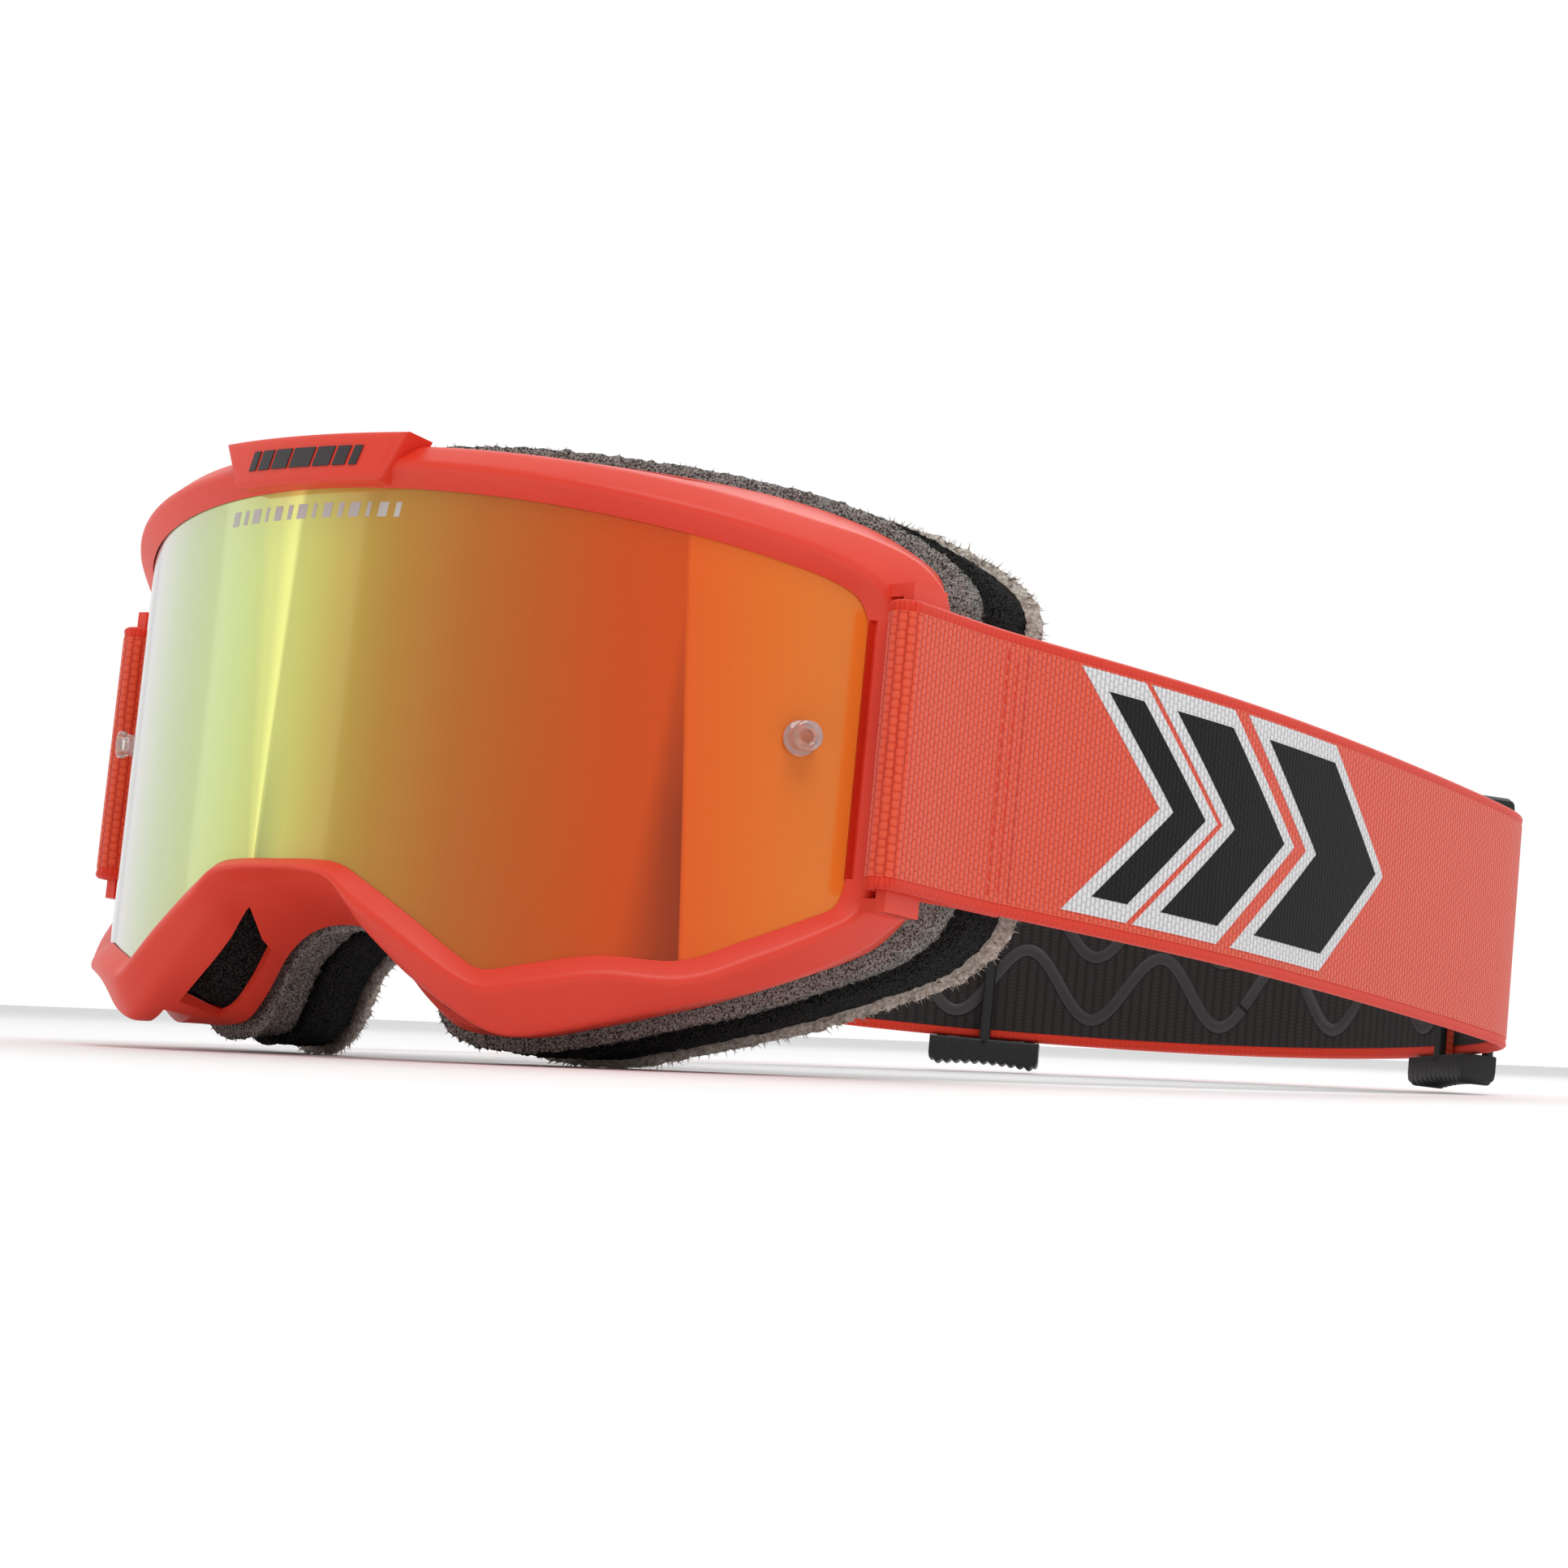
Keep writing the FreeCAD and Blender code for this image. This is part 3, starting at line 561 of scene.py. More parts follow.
def weave_finish(name, low, high, groove, rib, pick, depth, sheen=0.3, rough=0.85):
    """Woven webbing: upright ribs `rib` mm wide, crossed by picks `pick` mm high, stepped on each rib."""
    f = Finish(name, Roughness=rough, Sheen_Weight=sheen, Sheen_Roughness=0.5, Specular_IOR_Level=0.25)
    apart = f.node("SeparateXYZ", {0: f.place(True)})
    u, v = apart.outputs[0], apart.outputs[1]
    wobble = f.math("MULTIPLY", f.math("SUBTRACT", f.noise(f.place(), 700.0), 0.5), 0.35)
    u_rib = f.math("DIVIDE", f.math("ADD", u, wobble), rib)
    even = f.math("MODULO", f.math("FLOOR", u_rib), 2.0)
    v_pick = f.math("MULTIPLY_ADD", even, 0.5, f.math("DIVIDE", f.math("ADD", v, wobble), pick))
    across = f.math("ABSOLUTE", f.math("SINE", f.math("MULTIPLY", u_rib, np.pi)))
    up = f.math("ABSOLUTE", f.math("SINE", f.math("MULTIPLY", v_pick, np.pi)))
    crossing = f.math("MULTIPLY_ADD", f.math("POWER", up, 0.5), 0.6, 0.4)
    thread = f.math("MULTIPLY", f.math("POWER", across, 0.45), crossing)
    fuzz = f.noise(f.place(), 5200.0, 2.0, 0.7)
    height = f.math("MULTIPLY_ADD", fuzz, 0.25, thread)
    f.feed("Base Color", f.ramp(height, [(0.18, groove), (0.62, low), (1.0, high)]))
    f.bump(height, depth, 1.0)
    return f.material


def mirror_coat_and_painted_reflections():
    """The lens's mirror coat: colour by arc, the coat's tint from lime to orange with painted reflections in
    it: a grey band, a bright wedge, a darker streak, a dark wedge and a sharp change.
    """
    f = Finish("mirror_coat_and_painted_reflections", Metallic=0.25, Roughness=0.13, Coat_Weight=0.6, Coat_Roughness=0.03)
    x, y, z = worn_way(f)
    angle = f.math("ARCTAN2", x, f.math("SUBTRACT", LENS_RADIUS, y))
    arc = f.math("MULTIPLY", angle, LENS_RADIUS)
    low, high = -105.0, 105.0
    # Stops by arc: the coat's tint from lime to orange, with painted reflections in it: the grey band from
    # -70 to -57, and the brighter orange past the sharp change at 73.
    stops = [(low, (236, 150, 70)), (-85, (222, 196, 120)), (-70, (120, 118, 116)),
             (-60, (118, 115, 118)), (-57, (206, 200, 194)), (-47, (204, 214, 179)),
             (-36, (200, 213, 158)), (-14, (200, 216, 122)), (0.5, (207, 203, 95)),
             (8, (207, 181, 80)), (20, (205, 148, 58)), (34, (206, 117, 37)),
             (46.5, (213, 99, 19)), (62, (229, 84, 1)), (73, (232, 83, 1)),
             (73.5, (253, 105, 19)), (85, (254, 121, 30)), (high, (253, 146, 52))]
    made = [((a - low) / (high - low), srgb(*c)) for a, c in stops]
    # The sharp change, the painted edge of a reflected softbox, leans: it lies further round towards the
    # bottom.
    lean = f.math("MULTIPLY", f.math("SUBTRACT", z, 55.0), 0.085)
    near = f.node("MapRange", {0: arc, 1: 45.0, 2: 73.0, 3: 0.0, 4: 1.0}).outputs[0]
    far = f.node("MapRange", {0: arc, 1: 73.0, 2: 100.0, 3: 1.0, 4: 0.0}).outputs[0]
    shifted = f.math("ADD", arc, f.math("MULTIPLY", lean, f.math("MINIMUM", near, far)))
    colour = f.ramp(f.node("MapRange", {0: shifted, 1: low, 2: high}).outputs[0], made)
    # Bright wedge, a painted reflection: wide at the top, narrow at the bottom, its right side sharp.
    right = f.math("MULTIPLY_ADD", f.math("SUBTRACT", z, 30.0), 0.055, -5.5)
    left = f.math("MULTIPLY_ADD", f.math("SUBTRACT", z, 30.0), -0.115, -7.5)
    wide = f.math("SUBTRACT", right, left)
    t = f.math("DIVIDE", f.math("SUBTRACT", arc, left), wide)
    reflection_wedge = f.ramp(t, greys((0.0, 0), (0.45, 0.35), (0.86, 1), (1.0, 0)), "EASE")
    colour = f.mix(reflection_wedge, colour, srgb(252, 255, 140))
    # A darker olive streak just right of the bright wedge, stronger towards the bottom: painted reflection.
    shade = f.node("MapRange", {0: z, 1: 52.0, 2: 28.0, 3: 0.0, 4: 1.0}).outputs[0]
    beside = f.math("DIVIDE", f.math("SUBTRACT", arc, right), 6.0)
    reflection_streak = f.ramp(beside, greys((0.0, 0), (0.12, 1), (1.0, 0)))
    colour = f.mix(f.math("MULTIPLY", f.math("MULTIPLY", reflection_streak, shade), 0.75), colour, srgb(150, 163, 76))
    # Dark wedge beside the sharp change, widening downwards: the painted dark side of the reflection.
    spread = f.math("MAXIMUM", f.math("MULTIPLY", f.math("SUBTRACT", 80.0, z), 0.17), 0.01)
    t = f.math("DIVIDE", f.math("SUBTRACT", 73.15, shifted), spread)
    reflection_wedge = f.ramp(t, greys((0.0, 0), (0.012, 1), (0.4, 0.8), (1.0, 0)))
    strength = f.node("MapRange", {0: z, 1: 78.0, 2: 40.0, 3: 0.0, 4: 0.92}).outputs[0]
    colour = f.mix(f.math("MULTIPLY", reflection_wedge, strength), colour, srgb(158, 52, 0))
    f.feed("Base Color", colour)
    return f.material


def clear_plastic():
    """Clear moulding: mostly see-through, with a roughness that varies a little."""
    f = Finish("clear_post", Roughness=0.05, IOR=1.49, Transmission_Weight=0.85, Coat_Weight=0.5,
               Base_Color=(0.93, 0.93, 0.95, 1))
    f.feed("Roughness", f.ramp(f.noise(f.place(), 900.0), greys((0.3, 0.03), (0.8, 0.12))))
    return f.material


RED = moulded("red_shell", srgb(232, 60, 38), srgb(238, 68, 45), 0.45)
# Darker red for the strip in the groove beside the lens's side edges: painted shadow.
RED_SHADOW_LINE = moulded("red_painted_shadow", srgb(196, 38, 12), srgb(206, 42, 14), 0.35)
MIRROR_COAT_AND_REFLECTIONS = mirror_coat_and_painted_reflections()
LENS_BACK = moulded("lens_back", srgb(64, 44, 36), srgb(72, 50, 40), 0.15, 0.000005)
BADGE_INK = moulded("badge_ink", srgb(48, 44, 46), srgb(58, 54, 56), 0.5)
PRINT = moulded("lens_print", srgb(196, 190, 186), srgb(206, 200, 196), 0.4)
CLEAR = clear_plastic()
GREY_FOAM = foam_finish("grey_foam", srgb(62, 60, 58), srgb(196, 192, 186), 3000.0, 0.0004)
BLACK_FOAM = foam_finish("black_foam", srgb(14, 14, 14), srgb(66, 66, 66), 3400.0, 0.0003, 0.52)
FILTER = foam_finish("filter_foam", srgb(8, 8, 8), srgb(58, 58, 58), 2600.0, 0.0003, 0.55)
FLEECE = foam_finish("cream_fleece", srgb(186, 170, 156), srgb(232, 222, 212), 1500.0, 0.0005)
CLOTH_RED = weave_finish("red_weave", srgb(226, 66, 38), srgb(240, 92, 62), srgb(184, 44, 22),
                         1.25, 1.5, 0.00022)
CLOTH_INSIDE = weave_finish("charcoal_weave", srgb(44, 39, 39), srgb(56, 50, 50), srgb(32, 29, 29),
                            2.4, 0.9, 0.00004, 0.05)
CLOTH_WHITE = weave_finish("white_weave", srgb(214, 214, 216), srgb(238, 238, 240), srgb(160, 160, 164),
                           1.25, 1.5, 0.0002)
CLOTH_BLACK = weave_finish("black_weave", srgb(12, 12, 13), srgb(24, 24, 26), srgb(4, 4, 4),
                           1.25, 1.5, 0.0001, 0.05)
PIPING = weave_finish("red_piping", srgb(222, 52, 30), srgb(232, 62, 38), srgb(206, 44, 24),
                      0.7, 8.0, 0.00004, 0.1, 0.55)
THREAD = weave_finish("red_thread", srgb(206, 48, 28), srgb(232, 76, 50), srgb(150, 30, 16), 0.4, 0.4, 0.0001)
SILICONE = moulded("grip_silicone", srgb(58, 54, 55), srgb(66, 62, 63), 0.36, 0.00001)
BUCKLE = moulded("black_buckle", srgb(26, 28, 30), srgb(34, 36, 38), 0.42)
STRAP_PAINTS = [CLOTH_RED, PIPING, CLOTH_INSIDE, SILICONE, CLOTH_WHITE, CLOTH_BLACK, THREAD]


# ---------------------------------------------------------------- frame and lens

def frame_shell():
    """The moulded frame: its rounded section carried round the face, with slots and vents cut through."""
    points, faces = tube(rounded(frame_sections(1.6), FRAME_RADII), loop=True)
    ears = [strap_block((3.2, 13.2), (2.1, 4.3), (28.4, 85.4)),
            strap_block((4.2, 13.2), (2.6, 13.7), (28.4, 30.8)),
            strap_block((4.2, 13.2), (2.6, 13.7), (83.2, 85.4))]
    shell = make("goggle_frame_shell", [(points, faces, 0, None)], [RED, RED_SHADOW_LINE])
    cuts = [strap_block((-0.3, 42), (-14, 6.7), (30.8, 83.2))]
    cuts.append(tube(wall_band(between(40.5, 72.0, False), (0.04, 0.55), (-6, 3.2))))
    cuts.append(tube(wall_band(between(13.5, 36.5, False), (0.16, 0.9), (-6, 3.2))))
    for ends in ((9.0, 34.0), (40.0, 66.0)):
        cuts.append(tube(wall_band(between(*ends, True), (0.25, 0.8), (-6, 3.2))))
    arcs = np.linspace(SIDE_ARC + 0.1, SIDE_ARC + 1.3, 3)[:, None]
    heights = np.linspace(34.0, 79.0, 12)[None, :]
    cuts.append(slab(on_lens(arcs, heights, 6.0), on_lens(arcs, heights, 0.35)))
    carve(shell, cuts + [(flipped(p), f) for p, f in cuts])
    arms = make("strap_bar", [(side(p), f, 0, None) for p, f in ears for side in (np.array, flipped)], [RED])
    # A darker red strip at the bottom of the groove beside each side edge of the lens: painted shadow along
    # the groove.
    shadow_strip = slab(on_lens(arcs, heights, 0.5), on_lens(arcs, heights, -0.4))
    lines = [(side(shadow_strip[0]), shadow_strip[1], 0, None) for side in (np.array, flipped)]
    line = make("lens_edge_painted_shadow", lines, [RED_SHADOW_LINE])
    for piece in (arms, line):
        settle(piece, "goggles")
    settle(shell, "goggles", ["goggle_frame"])


def lens_plate():
    """The lens: a grid on the cylinder between its bottom and top edges, 1.2 mm thick, let into the frame."""
    half = stations(1.0)[:, 0]
    widest = int(np.argmax(half[:, 0]))
    arc = np.linspace(-SIDE_ARC - 1.5, SIDE_ARC + 1.5, 261)
    span = np.minimum(np.abs(arc), SIDE_ARC - 0.01)
    top = np.interp(span, half[:widest + 1, 0], half[:widest + 1, 1]) + 1.4
    low = half[widest:][::-1]
    bottom = np.interp(span, low[:, 0], low[:, 1]) - 1.4
    share = np.linspace(0, 1, 30)[:, None]
    z = bottom + (top - bottom) * share
    points, faces = slab(on_lens(arc, z, 0.0), on_lens(arc, z, -LENS_THICK))
    paint = np.ones(len(faces), int)
    paint[:29 * 260] = 0
    piece = make("lens_mirror", [(points, faces, paint, None)], [MIRROR_COAT_AND_REFLECTIONS, LENS_BACK])
    settle(piece, "goggles", ["lens"])


def leaning(arc, z, width, height, lean, low, high, rows=5, columns=5):
    """A leaning bar on the lens cylinder: a parallelogram of (arc, z) between two levels."""
    u, v = np.meshgrid(np.linspace(-0.5, 0.5, columns), np.linspace(-0.5, 0.5, rows))
    a, h = arc + u * width + v * height * lean, z + v * height
    return slab(on_lens(a, h, high), on_lens(a, h, low))


def brow():
    """The brow plate: a trapezoid whose height falls off along a bevel round its border."""
    inset = np.array([0, 0, 0.25, 0.7, 1.3])
    rise = np.array([-4.0, 3.6, 4.2, 4.5, BROW_HEIGHT])
    u = np.concatenate([inset, np.linspace(2.2, 43.8, 40), 46 - inset[::-1]]) / 46
    v = np.concatenate([inset, np.linspace(2.0, BROW_RISE - 2.0, 8), BROW_RISE - inset[::-1]]) / BROW_RISE
    ru = np.concatenate([rise, np.full(40, BROW_HEIGHT), rise[::-1]])
    rv = np.concatenate([rise, np.full(8, BROW_HEIGHT), rise[::-1]])
    z = BROW_BOTTOM + BROW_RISE * v[:, None]
    half = 16.5 + 4.5 * v[:, None]
    arc = (2 * u[None, :] - 1) * half
    out = np.minimum(ru[None, :], rv[:, None])
    front = on_lens(arc, z, out)
    back = on_lens(arc, z, np.minimum(out, -4.5))
    plate = make("brow_panel", [(*slab(front, back), 0, None)], [RED])
    settle(plate, "goggles", ["brow_plate"])
    bars = []
    for arc, width in ((-11.5, 1.6), (-8.6, 2.6), (-4.8, 3.6), (0.0, 4.6), (4.8, 3.6),
                       (8.6, 2.6), (11.5, 1.6)):
        bars.append((*leaning(arc, 99.4, width, 3.4, 0.35, BROW_HEIGHT - 0.3, BROW_HEIGHT + 0.25), 0, None))
    settle(make("brow_marks", bars, [BADGE_INK]), "goggles", ["brow_badge"])


def lens_print():
    """A row of short leaning dashes printed along the top of the lens."""
    bars = []
    for n in range(14):
        arc, width = -21.5 + 3.05 * n, (1.9, 1.1, 2.2, 0.8)[n % 4]
        bars.append((*leaning(arc, 90.9 - 0.0006 * arc * arc, width, 2.6, 0.16, -0.1, 0.04), 0, None))
    settle(make("lens_print", bars, [PRINT]), "goggles")


def posts():
    """Clear posts for tear-off films: a turned, hollow stud with a collar and a head."""
    profile = [(0.02, -2.4), (2.9, -2.4), (3.1, -2.2), (3.1, -1.45), (2.1, -1.35), (2.1, 0.15),
               (2.95, 0.15), (3.1, 0.3), (3.1, 0.9), (2.9, 1.1), (2.25, 1.15), (2.1, 1.3), (2.1, 3.3),
               (2.3, 3.5), (2.6, 3.6), (2.7, 3.8), (2.7, 4.7), (2.5, 5.0), (1.5, 5.0), (1.3, 4.8),
               (1.3, 1.2), (0.02, 1.1)]
    base = on_lens(POST_ARC, POST_Z)
    points, faces = turned(profile, base, on_lens(POST_ARC, POST_Z, 1.0) - base)
    for side, mirror in (("right", np.array), ("left", flipped)):
        piece = make("tear_off_stud_" + side, [(mirror(points), faces, 0, None)], [CLEAR], 60.0)
        settle(piece, "goggles", ["tear_off_post_" + side])


# ---------------------------------------------------------------- foam

def box_line(width, depth, radius, step, bulge=0.0):
    """Points round a rounded rectangle (distance, depth), about `step` apart, its long sides bulged."""
    corners = np.array([(radius, radius), (radius, depth - radius),
                        (width - radius, depth - radius), (width - radius, radius)])
    turn = (np.pi, np.pi / 2, 0, -np.pi / 2)
    line = []
    for n, (corner, start) in enumerate(zip(corners, turn)):
        angle = start - np.linspace(0, np.pi / 2, 4)
        line.append(corner + radius * np.stack([np.cos(angle), np.sin(angle)], 1))
        after = corners[(n + 1) % 4] + radius * np.array([np.cos(angle[-1]), np.sin(angle[-1])])
        span = np.linalg.norm(after - line[-1][-1])
        count = max(1, int(span / step))
        line.append(line[-1][-1] + (after - line[-1][-1]) * np.linspace(0, 1, count + 1)[1:-1, None])
    line = np.concatenate(line)
    swell = bulge * np.sin(np.pi * np.clip(line[:, 1] / depth, 0, 1))
    line[:, 0] += np.where(line[:, 0] < width / 2, -swell, swell)
    return line


def foam_ring(name, near, thick, paint, node, grain, radius, step=0.95):
    """A foam layer: a rounded, slightly bulged section carried round the face, with its cells roughened."""
    loop = whole(stations(step))
    rear = loop[:, 2]
    inside = inside_way(rear)
    nose = ((np.abs(rear[:, 0]) < 20.2) & (rear[:, 1] < 29.3)).astype(float)
    ease = np.convolve(np.r_[nose[-6:], nose, nose[:6]], np.ones(13) / 13, "valid")
    proud = 2.0 - 1.7 * ease
    line = box_line(14.0, thick, radius, step, 0.35)
    distance = line[None, :, 0] - proud[:, None]
    place = rear[:, None] + inside[:, None] * distance[..., None]
    y = REAR_CENTRE + REAR_BOW * place[..., 0] ** 2 + near + line[None, :, 1]
    rings = np.stack([place[..., 0], y, place[..., 1]], -1)
    rings += rng.normal(0, grain, rings.shape)
    points, faces = tube(rings, loop=True)
    piece = make(name, [(points, faces, 0, None)], [paint], 180.0)
    settle(piece, "goggles", [node])
    return rings


def tufts(name, rings, share, length, width, paint, pick):
    """Short fibres standing on a foam layer: three-sided spikes at random points of its surface."""
    middle = rings.mean(1, keepdims=True)
    out = rings - middle
    out /= np.linalg.norm(out, axis=2, keepdims=True)
    chosen = (rng.random(rings.shape[:2]) < share) & pick(rings, middle)
    base, way = rings[chosen], out[chosen]
    way = way + rng.normal(0, 0.45, way.shape)
    way /= np.linalg.norm(way, axis=1, keepdims=True)
    side = np.cross(way, rng.normal(0, 1, way.shape))
    side /= np.linalg.norm(side, axis=1, keepdims=True)
    other = np.cross(way, side)
    long = length * rng.uniform(0.5, 1.0, (len(base), 1))
    feet = [base + width * (np.cos(a) * side + np.sin(a) * other) - 0.3 * way for a in (0, 2.1, 4.2)]
    points = np.stack(feet + [base + way * long], 1).reshape(-1, 3)
    start = np.arange(len(base))[:, None, None] * 4
    faces = (start + np.array([(0, 1, 3), (1, 2, 3), (2, 0, 3), (0, 2, 1)])[None]).reshape(-1, 3)
    settle(make(name, [(points, faces.tolist(), 0, None)], [paint], 180.0), "goggles")


def face_foam():
    """Three layers behind the flange, grey, black and cream, the outer ones with fibres on their edges."""
    grey = foam_ring("foam_grey", 0.45, 10.0, GREY_FOAM, "foam_base", 0.16, 1.6)
    foam_ring("foam_black", 10.45, 12.0, BLACK_FOAM, "foam_middle", 0.12, 1.0)
    fleece = foam_ring("fleece_face", 22.45, 5.0, FLEECE, "face_fleece", 0.2, 1.8)
    everywhere = lambda rings, middle: np.ones(rings.shape[:2], bool)
    tufts("fleece_nap", fleece, 0.5, 1.5, 0.16, FLEECE, everywhere)
    tufts("foam_fuzz", grey, 0.3, 0.8, 0.14, GREY_FOAM, everywhere)


def vent_foam():
    """Filter foam behind the vents: bands inside the outer wall, their faces roughened."""
    spans = {"lobe": (43.5, 75.0, False), "nose": (12.5, 36.5, False), "top": (6.0, 69.0, True)}
    for name, span in spans.items():
        rows = between(*span, step=1.0)
        corners = wall_band(rows, (0.05, 0.95), (2.5, 5.3))
        share = np.linspace(0, 1, 12, endpoint=False)[None, :, None]
        after = np.roll(corners, -1, 1)
        ring = np.concatenate([corners[:, n, None] + (after[:, n, None] - corners[:, n, None]) * share
                               for n in range(4)], 1)
        ring += rng.normal(0, 0.1, ring.shape)
        points, faces = tube(ring)
        for side, mirror in (("right", np.array), ("left", flipped)):
            piece = make(f"filter_{name}_{side}", [(mirror(points), faces, 0, None)], [FILTER], 180.0)
            settle(piece, "goggles", [f"vent_foam_{name}_{side}"])


# ---------------------------------------------------------------- strap

def tail_depth(along):
    """Middle of the folded end: 5.5 mm in behind the bar, easing to 2.85 mm beside the outer run."""
    share = np.clip((np.asarray(along, float) - 13.2) / 12.8, 0, 1)
    return 5.5 - 2.65 * share * share * (3 - 2 * share)


def emblem():
    """Three arrowheads pointing back, black with a white border: start = tip - 1.15 |z - middle| - width."""
    bits = []
    middle, reach = 57.5, 18.6
    for tip, width in ((156.0, 26.0), (117.0, 18.0), (89.0, 10.0)):
        for border, paint, rise in ((3.4, 4, 0.14), (0.0, 5, 0.24)):
            z = np.linspace(middle - reach - border, middle + reach + border, 25)[:, None]
            length = width + border * 2.4
            run = np.linspace(0, length, max(2, int(length / 2.0) + 1))[None, :]
            along = tip - 1.15 * np.abs(z - middle) - width - border * 1.2 + run
            z = np.broadcast_to(z, along.shape)
            along = np.minimum(along, SPLIT - 0.4)
            points, faces = slab(on_strap(along, -rise, z), on_strap(along, 0.3, z))
            uv = np.tile(np.stack([along, z], -1).reshape(-1, 2), (2, 1))
            bits.append((points, faces, paint, uv))
    return bits


def stitches():
    """Rows of short threads across the strap where the folded end is sewn down."""
    bits = []
    for n, along in enumerate((29.6, 32.4, 35.2)):
        for z in np.arange(STRAP_BOTTOM + 4.0 + (n % 2), STRAP_TOP - 3.5, 2.6):
            line = np.linspace(-0.95, 0.95, 7)
            round_ = np.linspace(0, 2 * np.pi, 6, endpoint=False)
            high = z + line[:, None] + 0 * round_[None, :]
            fat = 0.24 * np.sqrt(np.clip(1 - (line / 1.05) ** 2, 0, 1))[:, None]
            lift = -0.05 - fat * np.sin(round_)[None, :]
            reach = along + fat * np.cos(round_)[None, :]
            points, faces = tube(on_strap(reach, lift, high))
            uv = np.stack([reach, high], -1).reshape(-1, 2)
            bits.append((points, faces, 6, uv))
    return bits


def strap_sides():
    """Each side: the folded end, half a circle round the bar, and the outer run back to the rear strap."""
    ends = np.arange(36.0, 3.2, -1.2)
    turn = np.linspace(0, np.pi, 15)[1:]
    fold = np.stack([3.2 - 2.3 * np.sin(turn), 3.2 + 2.3 * np.cos(turn)], 1)
    outer = np.arange(4.6, SPLIT, 1.3)
    path = np.concatenate([np.stack([ends, tail_depth(ends)], 1), [(3.2, 5.5)], fold,
                           np.stack([outer, np.full(len(outer), 0.9)], 1), [(SPLIT, 0.9)]])
    band = webbing(path)
    lines = {side: [(p, f, 3, uv) for p, f, uv in waves(*ends)]
             for side, ends in (("right", (46.0, SPLIT)), ("left", (TOTAL - SPLIT, TOTAL - 46.0)))}
    tag_along, tag_z = np.linspace(13, 22, 8)[:, None], np.array([[73.5, 79.0]])
    tag = slab(on_strap(tag_along, -0.16, tag_z), on_strap(tag_along, 0.3, tag_z))
    bits = [band] + emblem() + stitches()
    for side, mirror in (("right", np.array), ("left", flipped)):
        extra = [(*tag, 4, None)] if side == "left" else []
        shapes = [(mirror(p), f, paint, uv) for p, f, paint, uv in bits + extra] + lines[side]
        piece = make("strap_side_webbing_" + side, shapes, STRAP_PAINTS, 40.0)
        settle(piece, ("goggles", "strap_back"), ["strap_anchor_" + side, "strap_side_" + side],
               ((0, 95, 57), (0, 204, 57)))


def rear_strap():
    """The rear strap, and the two ends doubled inside it that run from the middle to the sliders."""
    runs = np.append(np.arange(SPLIT, TOTAL - SPLIT, 1.3), TOTAL - SPLIT)
    band = webbing(np.stack([runs, np.full(len(runs), 0.9)], 1))
    left, right = (TOTAL / 2 - np.radians(angle) * REAR_RADIUS for angle in (LEFT_ANGLE, RIGHT_ANGLE))
    lines = [(p, f, 3, uv) for ends in ((SPLIT, right), (left, TOTAL - SPLIT)) for p, f, uv in waves(*ends)]
    piece = make("rear_webbing", [band] + lines, STRAP_PAINTS, 40.0)
    settle(piece, "strap_back", ["strap_rear"])
    ends = {"left": (TOTAL / 2, left, (-60, 310, 57)), "right": (right, TOTAL / 2, (66, 306, 57))}
    for side, (first, last, far) in ends.items():
        runs = np.append(np.arange(first, last, 1.3), last)
        band = webbing(np.stack([runs, np.full(len(runs), 2.85)], 1))
        lines = [(p, f, 3, uv) for p, f, uv in waves(first, last, 3.75)]
        piece = make("doubled_webbing_" + side, [band] + lines, STRAP_PAINTS, 40.0)
        bodies = ("strap_back", side + "_slider")
        settle(piece, bodies, ["strap_tail_" + side], ((0, 325, 57), far))


def bar(width, depth, height, radius=0.7):
    """A block with rounded long edges: rounded rectangle sections stacked from one height to another."""
    corners = [(width[0], depth[0]), (width[1], depth[0]), (width[1], depth[1]), (width[0], depth[1])]
    section = np.array([[(x, y, z) for x, y in corners] for z in np.linspace(*height, 6)], float)
    return tube(rounded(section, (radius,) * 4, 4))


def grip(low, high, edge):
    """A grip: its outer edge scalloped by 0.7 (1 - |cos|) mm and bowed in by 0.9 mm, its ends rounded."""
    half, ribs = GRIP_LENGTH / 2, 12
    x = np.linspace(-half, half, 157)
    scallop = 0.7 * (1 - np.abs(np.cos(np.pi * (x + half) / GRIP_LENGTH * ribs)))
    bow = 0.9 * (1 - (x / half) ** 2)
    corner = 2.0 - np.sqrt(np.clip(4.0 - np.clip(np.abs(x) - (half - 2), 0, 2) ** 2, 0, 4))
    out = high - low - scallop - bow - corner
    section = np.array([(0, GRIP_IN), (0, GRIP_OUT), (1, GRIP_OUT), (1, GRIP_IN)])
    rings = np.empty((len(x), 4, 3))
    rings[..., 0] = x[:, None]
    rings[..., 1] = section[None, :, 1]
    reach = section[None, :, 0] * out[:, None]
    rings[..., 2] = low + reach if edge > 0 else high - reach
    return tube(rounded(rings, (0.5, 0.5, 1.1, 1.1), 4))


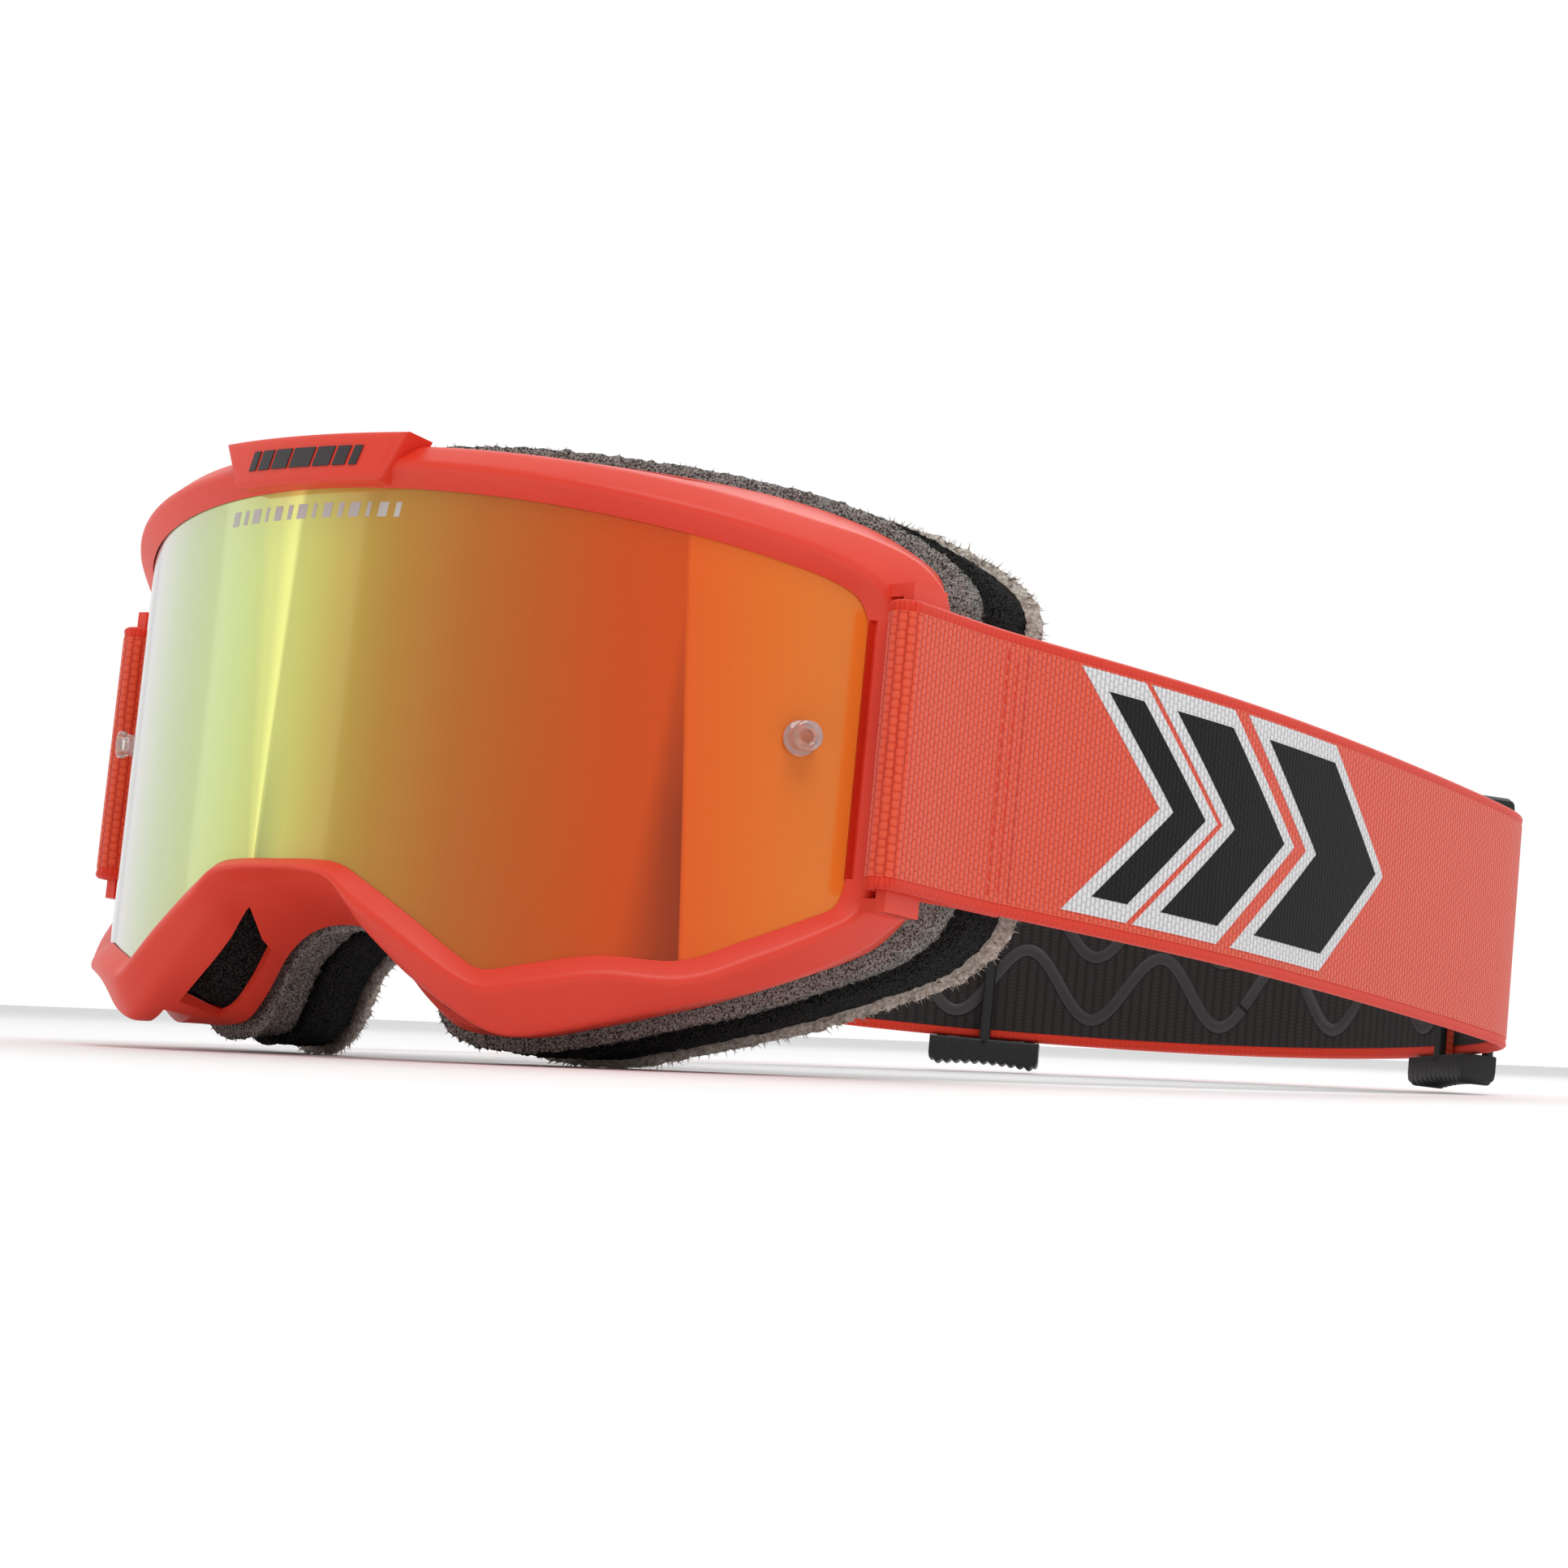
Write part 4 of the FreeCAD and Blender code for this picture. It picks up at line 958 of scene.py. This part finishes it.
def sliders():
    """Ladder buckles: two scalloped grips joined by two bars outside the webbing and one inside it."""
    half, heights = 1.3, (30.4, 83.6)
    shapes = [grip(25.05, 31.65, -1), grip(82.35, 88.95, 1)]
    shapes.append(bar((-half, half), (GRIP_IN, 323.9), heights, 0.6))
    shapes += [bar((x - half, x + half), (328.35, GRIP_OUT), heights, 0.6) for x in (-10.4, 10.4)]
    for side, angle in (("left", LEFT_ANGLE), ("right", RIGHT_ANGLE)):
        turn = np.radians(-angle)
        spin = np.array([[np.cos(turn), -np.sin(turn), 0], [np.sin(turn), np.cos(turn), 0], [0, 0, 1]])
        centre = np.array([0, REAR_CENTRE_Y, 0])
        bits = [((p - centre) @ spin.T + centre, f, 0, None) for p, f in shapes]
        piece = make("ladder_slider_" + side, bits, [BUCKLE], 40.0)
        settle(piece, side + "_slider", ["slider_" + side])


frame_shell()
lens_plate()
brow()
lens_print()
posts()
face_foam()
vent_foam()
strap_sides()
rear_strap()
sliders()


# ---------------------------------------------------------------- floor, light and camera

def floor():
    """A plain, pale table under the goggles, with a faint mottle."""
    mesh = bpy.data.meshes.new("floor")
    mesh.from_pydata([(-6, -6, 0), (6, -6, 0), (6, 6, 0), (-6, 6, 0)], [], [(0, 1, 2, 3)])
    obj = bpy.data.objects.new("floor", mesh)
    bpy.context.scene.collection.objects.link(obj)
    f = Finish("pale_floor", Roughness=0.6)
    mottle = [(0.3, srgb(246, 246, 247)), (0.7, srgb(250, 250, 251))]
    f.feed("Base Color", f.ramp(f.noise(f.place(), 3.0), mottle))
    mesh.materials.append(f.material)


def lamp(name, place, target, size, power):
    """A square soft light at a place, facing a target."""
    light = bpy.data.lights.new(name, "AREA")
    light.size, light.energy = size, power
    obj = bpy.data.objects.new(name, light)
    obj.location = place
    obj.rotation_euler = (Vector(target) - Vector(place)).to_track_quat("-Z", "Y").to_euler()
    bpy.context.scene.collection.objects.link(obj)


def camera():
    """The view from below the lens's level at the wearer's left, a little rolled."""
    place, target = np.array([520.344, -533.632, -47.790]), np.array([0, 141.4, 65.0])
    back = (place - target) / np.linalg.norm(place - target)
    right = np.cross([0, 0, 1.0], back)
    right /= np.linalg.norm(right)
    up = np.cross(back, right)
    roll = np.radians(5.56)
    axes = [np.cos(roll) * right + np.sin(roll) * up, -np.sin(roll) * right + np.cos(roll) * up, back]
    turned_axes = np.stack([TURN @ axis for axis in axes], 1)
    data = bpy.data.cameras.new("view")
    data.lens, data.sensor_width, data.clip_end = 98.5, 36.0, 30.0
    data.clip_start = 0.01
    data.shift_x, data.shift_y = 1.09 / 1932, 4.21 / 1932
    obj = bpy.data.objects.new("view", data)
    stand = Matrix.Translation(Vector(to_row(place)))
    obj.matrix_world = stand @ Matrix(turned_axes.tolist()).to_4x4()
    bpy.context.scene.collection.objects.link(obj)
    bpy.context.scene.camera = obj


floor()
world = bpy.data.worlds.new("studio")
bpy.context.scene.world = world
world.use_nodes = True
sky = world.node_tree
lie = sky.nodes.new("ShaderNodeTexCoord").outputs["Generated"]
toward = sky.nodes.new("ShaderNodeVectorMath")
toward.operation = "DOT_PRODUCT"
toward.inputs[1].default_value = (-0.61, 0.79, 0.0)
sky.links.new(lie, toward.inputs[0])
fall = sky.nodes.new("ShaderNodeMapRange")
for socket, value in ((1, -0.3), (2, 0.45), (3, 0.42), (4, 1.0)):
    fall.inputs[socket].default_value = value
sky.links.new(toward.outputs["Value"], fall.inputs[0])
sky.links.new(fall.outputs[0], sky.nodes["Background"].inputs["Strength"])
sky.nodes["Background"].inputs["Color"].default_value = (1.0, 1.0, 1.0, 1)
lamp("key", (0.75, -0.6, 1.3), (0, -0.05, 0.05), 0.8, 9.0)
lamp("fill", (-0.9, -0.8, 0.5), (0, 0, 0.05), 1.0, 1.5)
lamp("rim", (-0.2, 1.0, 0.9), (0, 0, 0.05), 0.8, 3.0)
camera()
bpy.context.scene.view_settings.view_transform = "Standard"
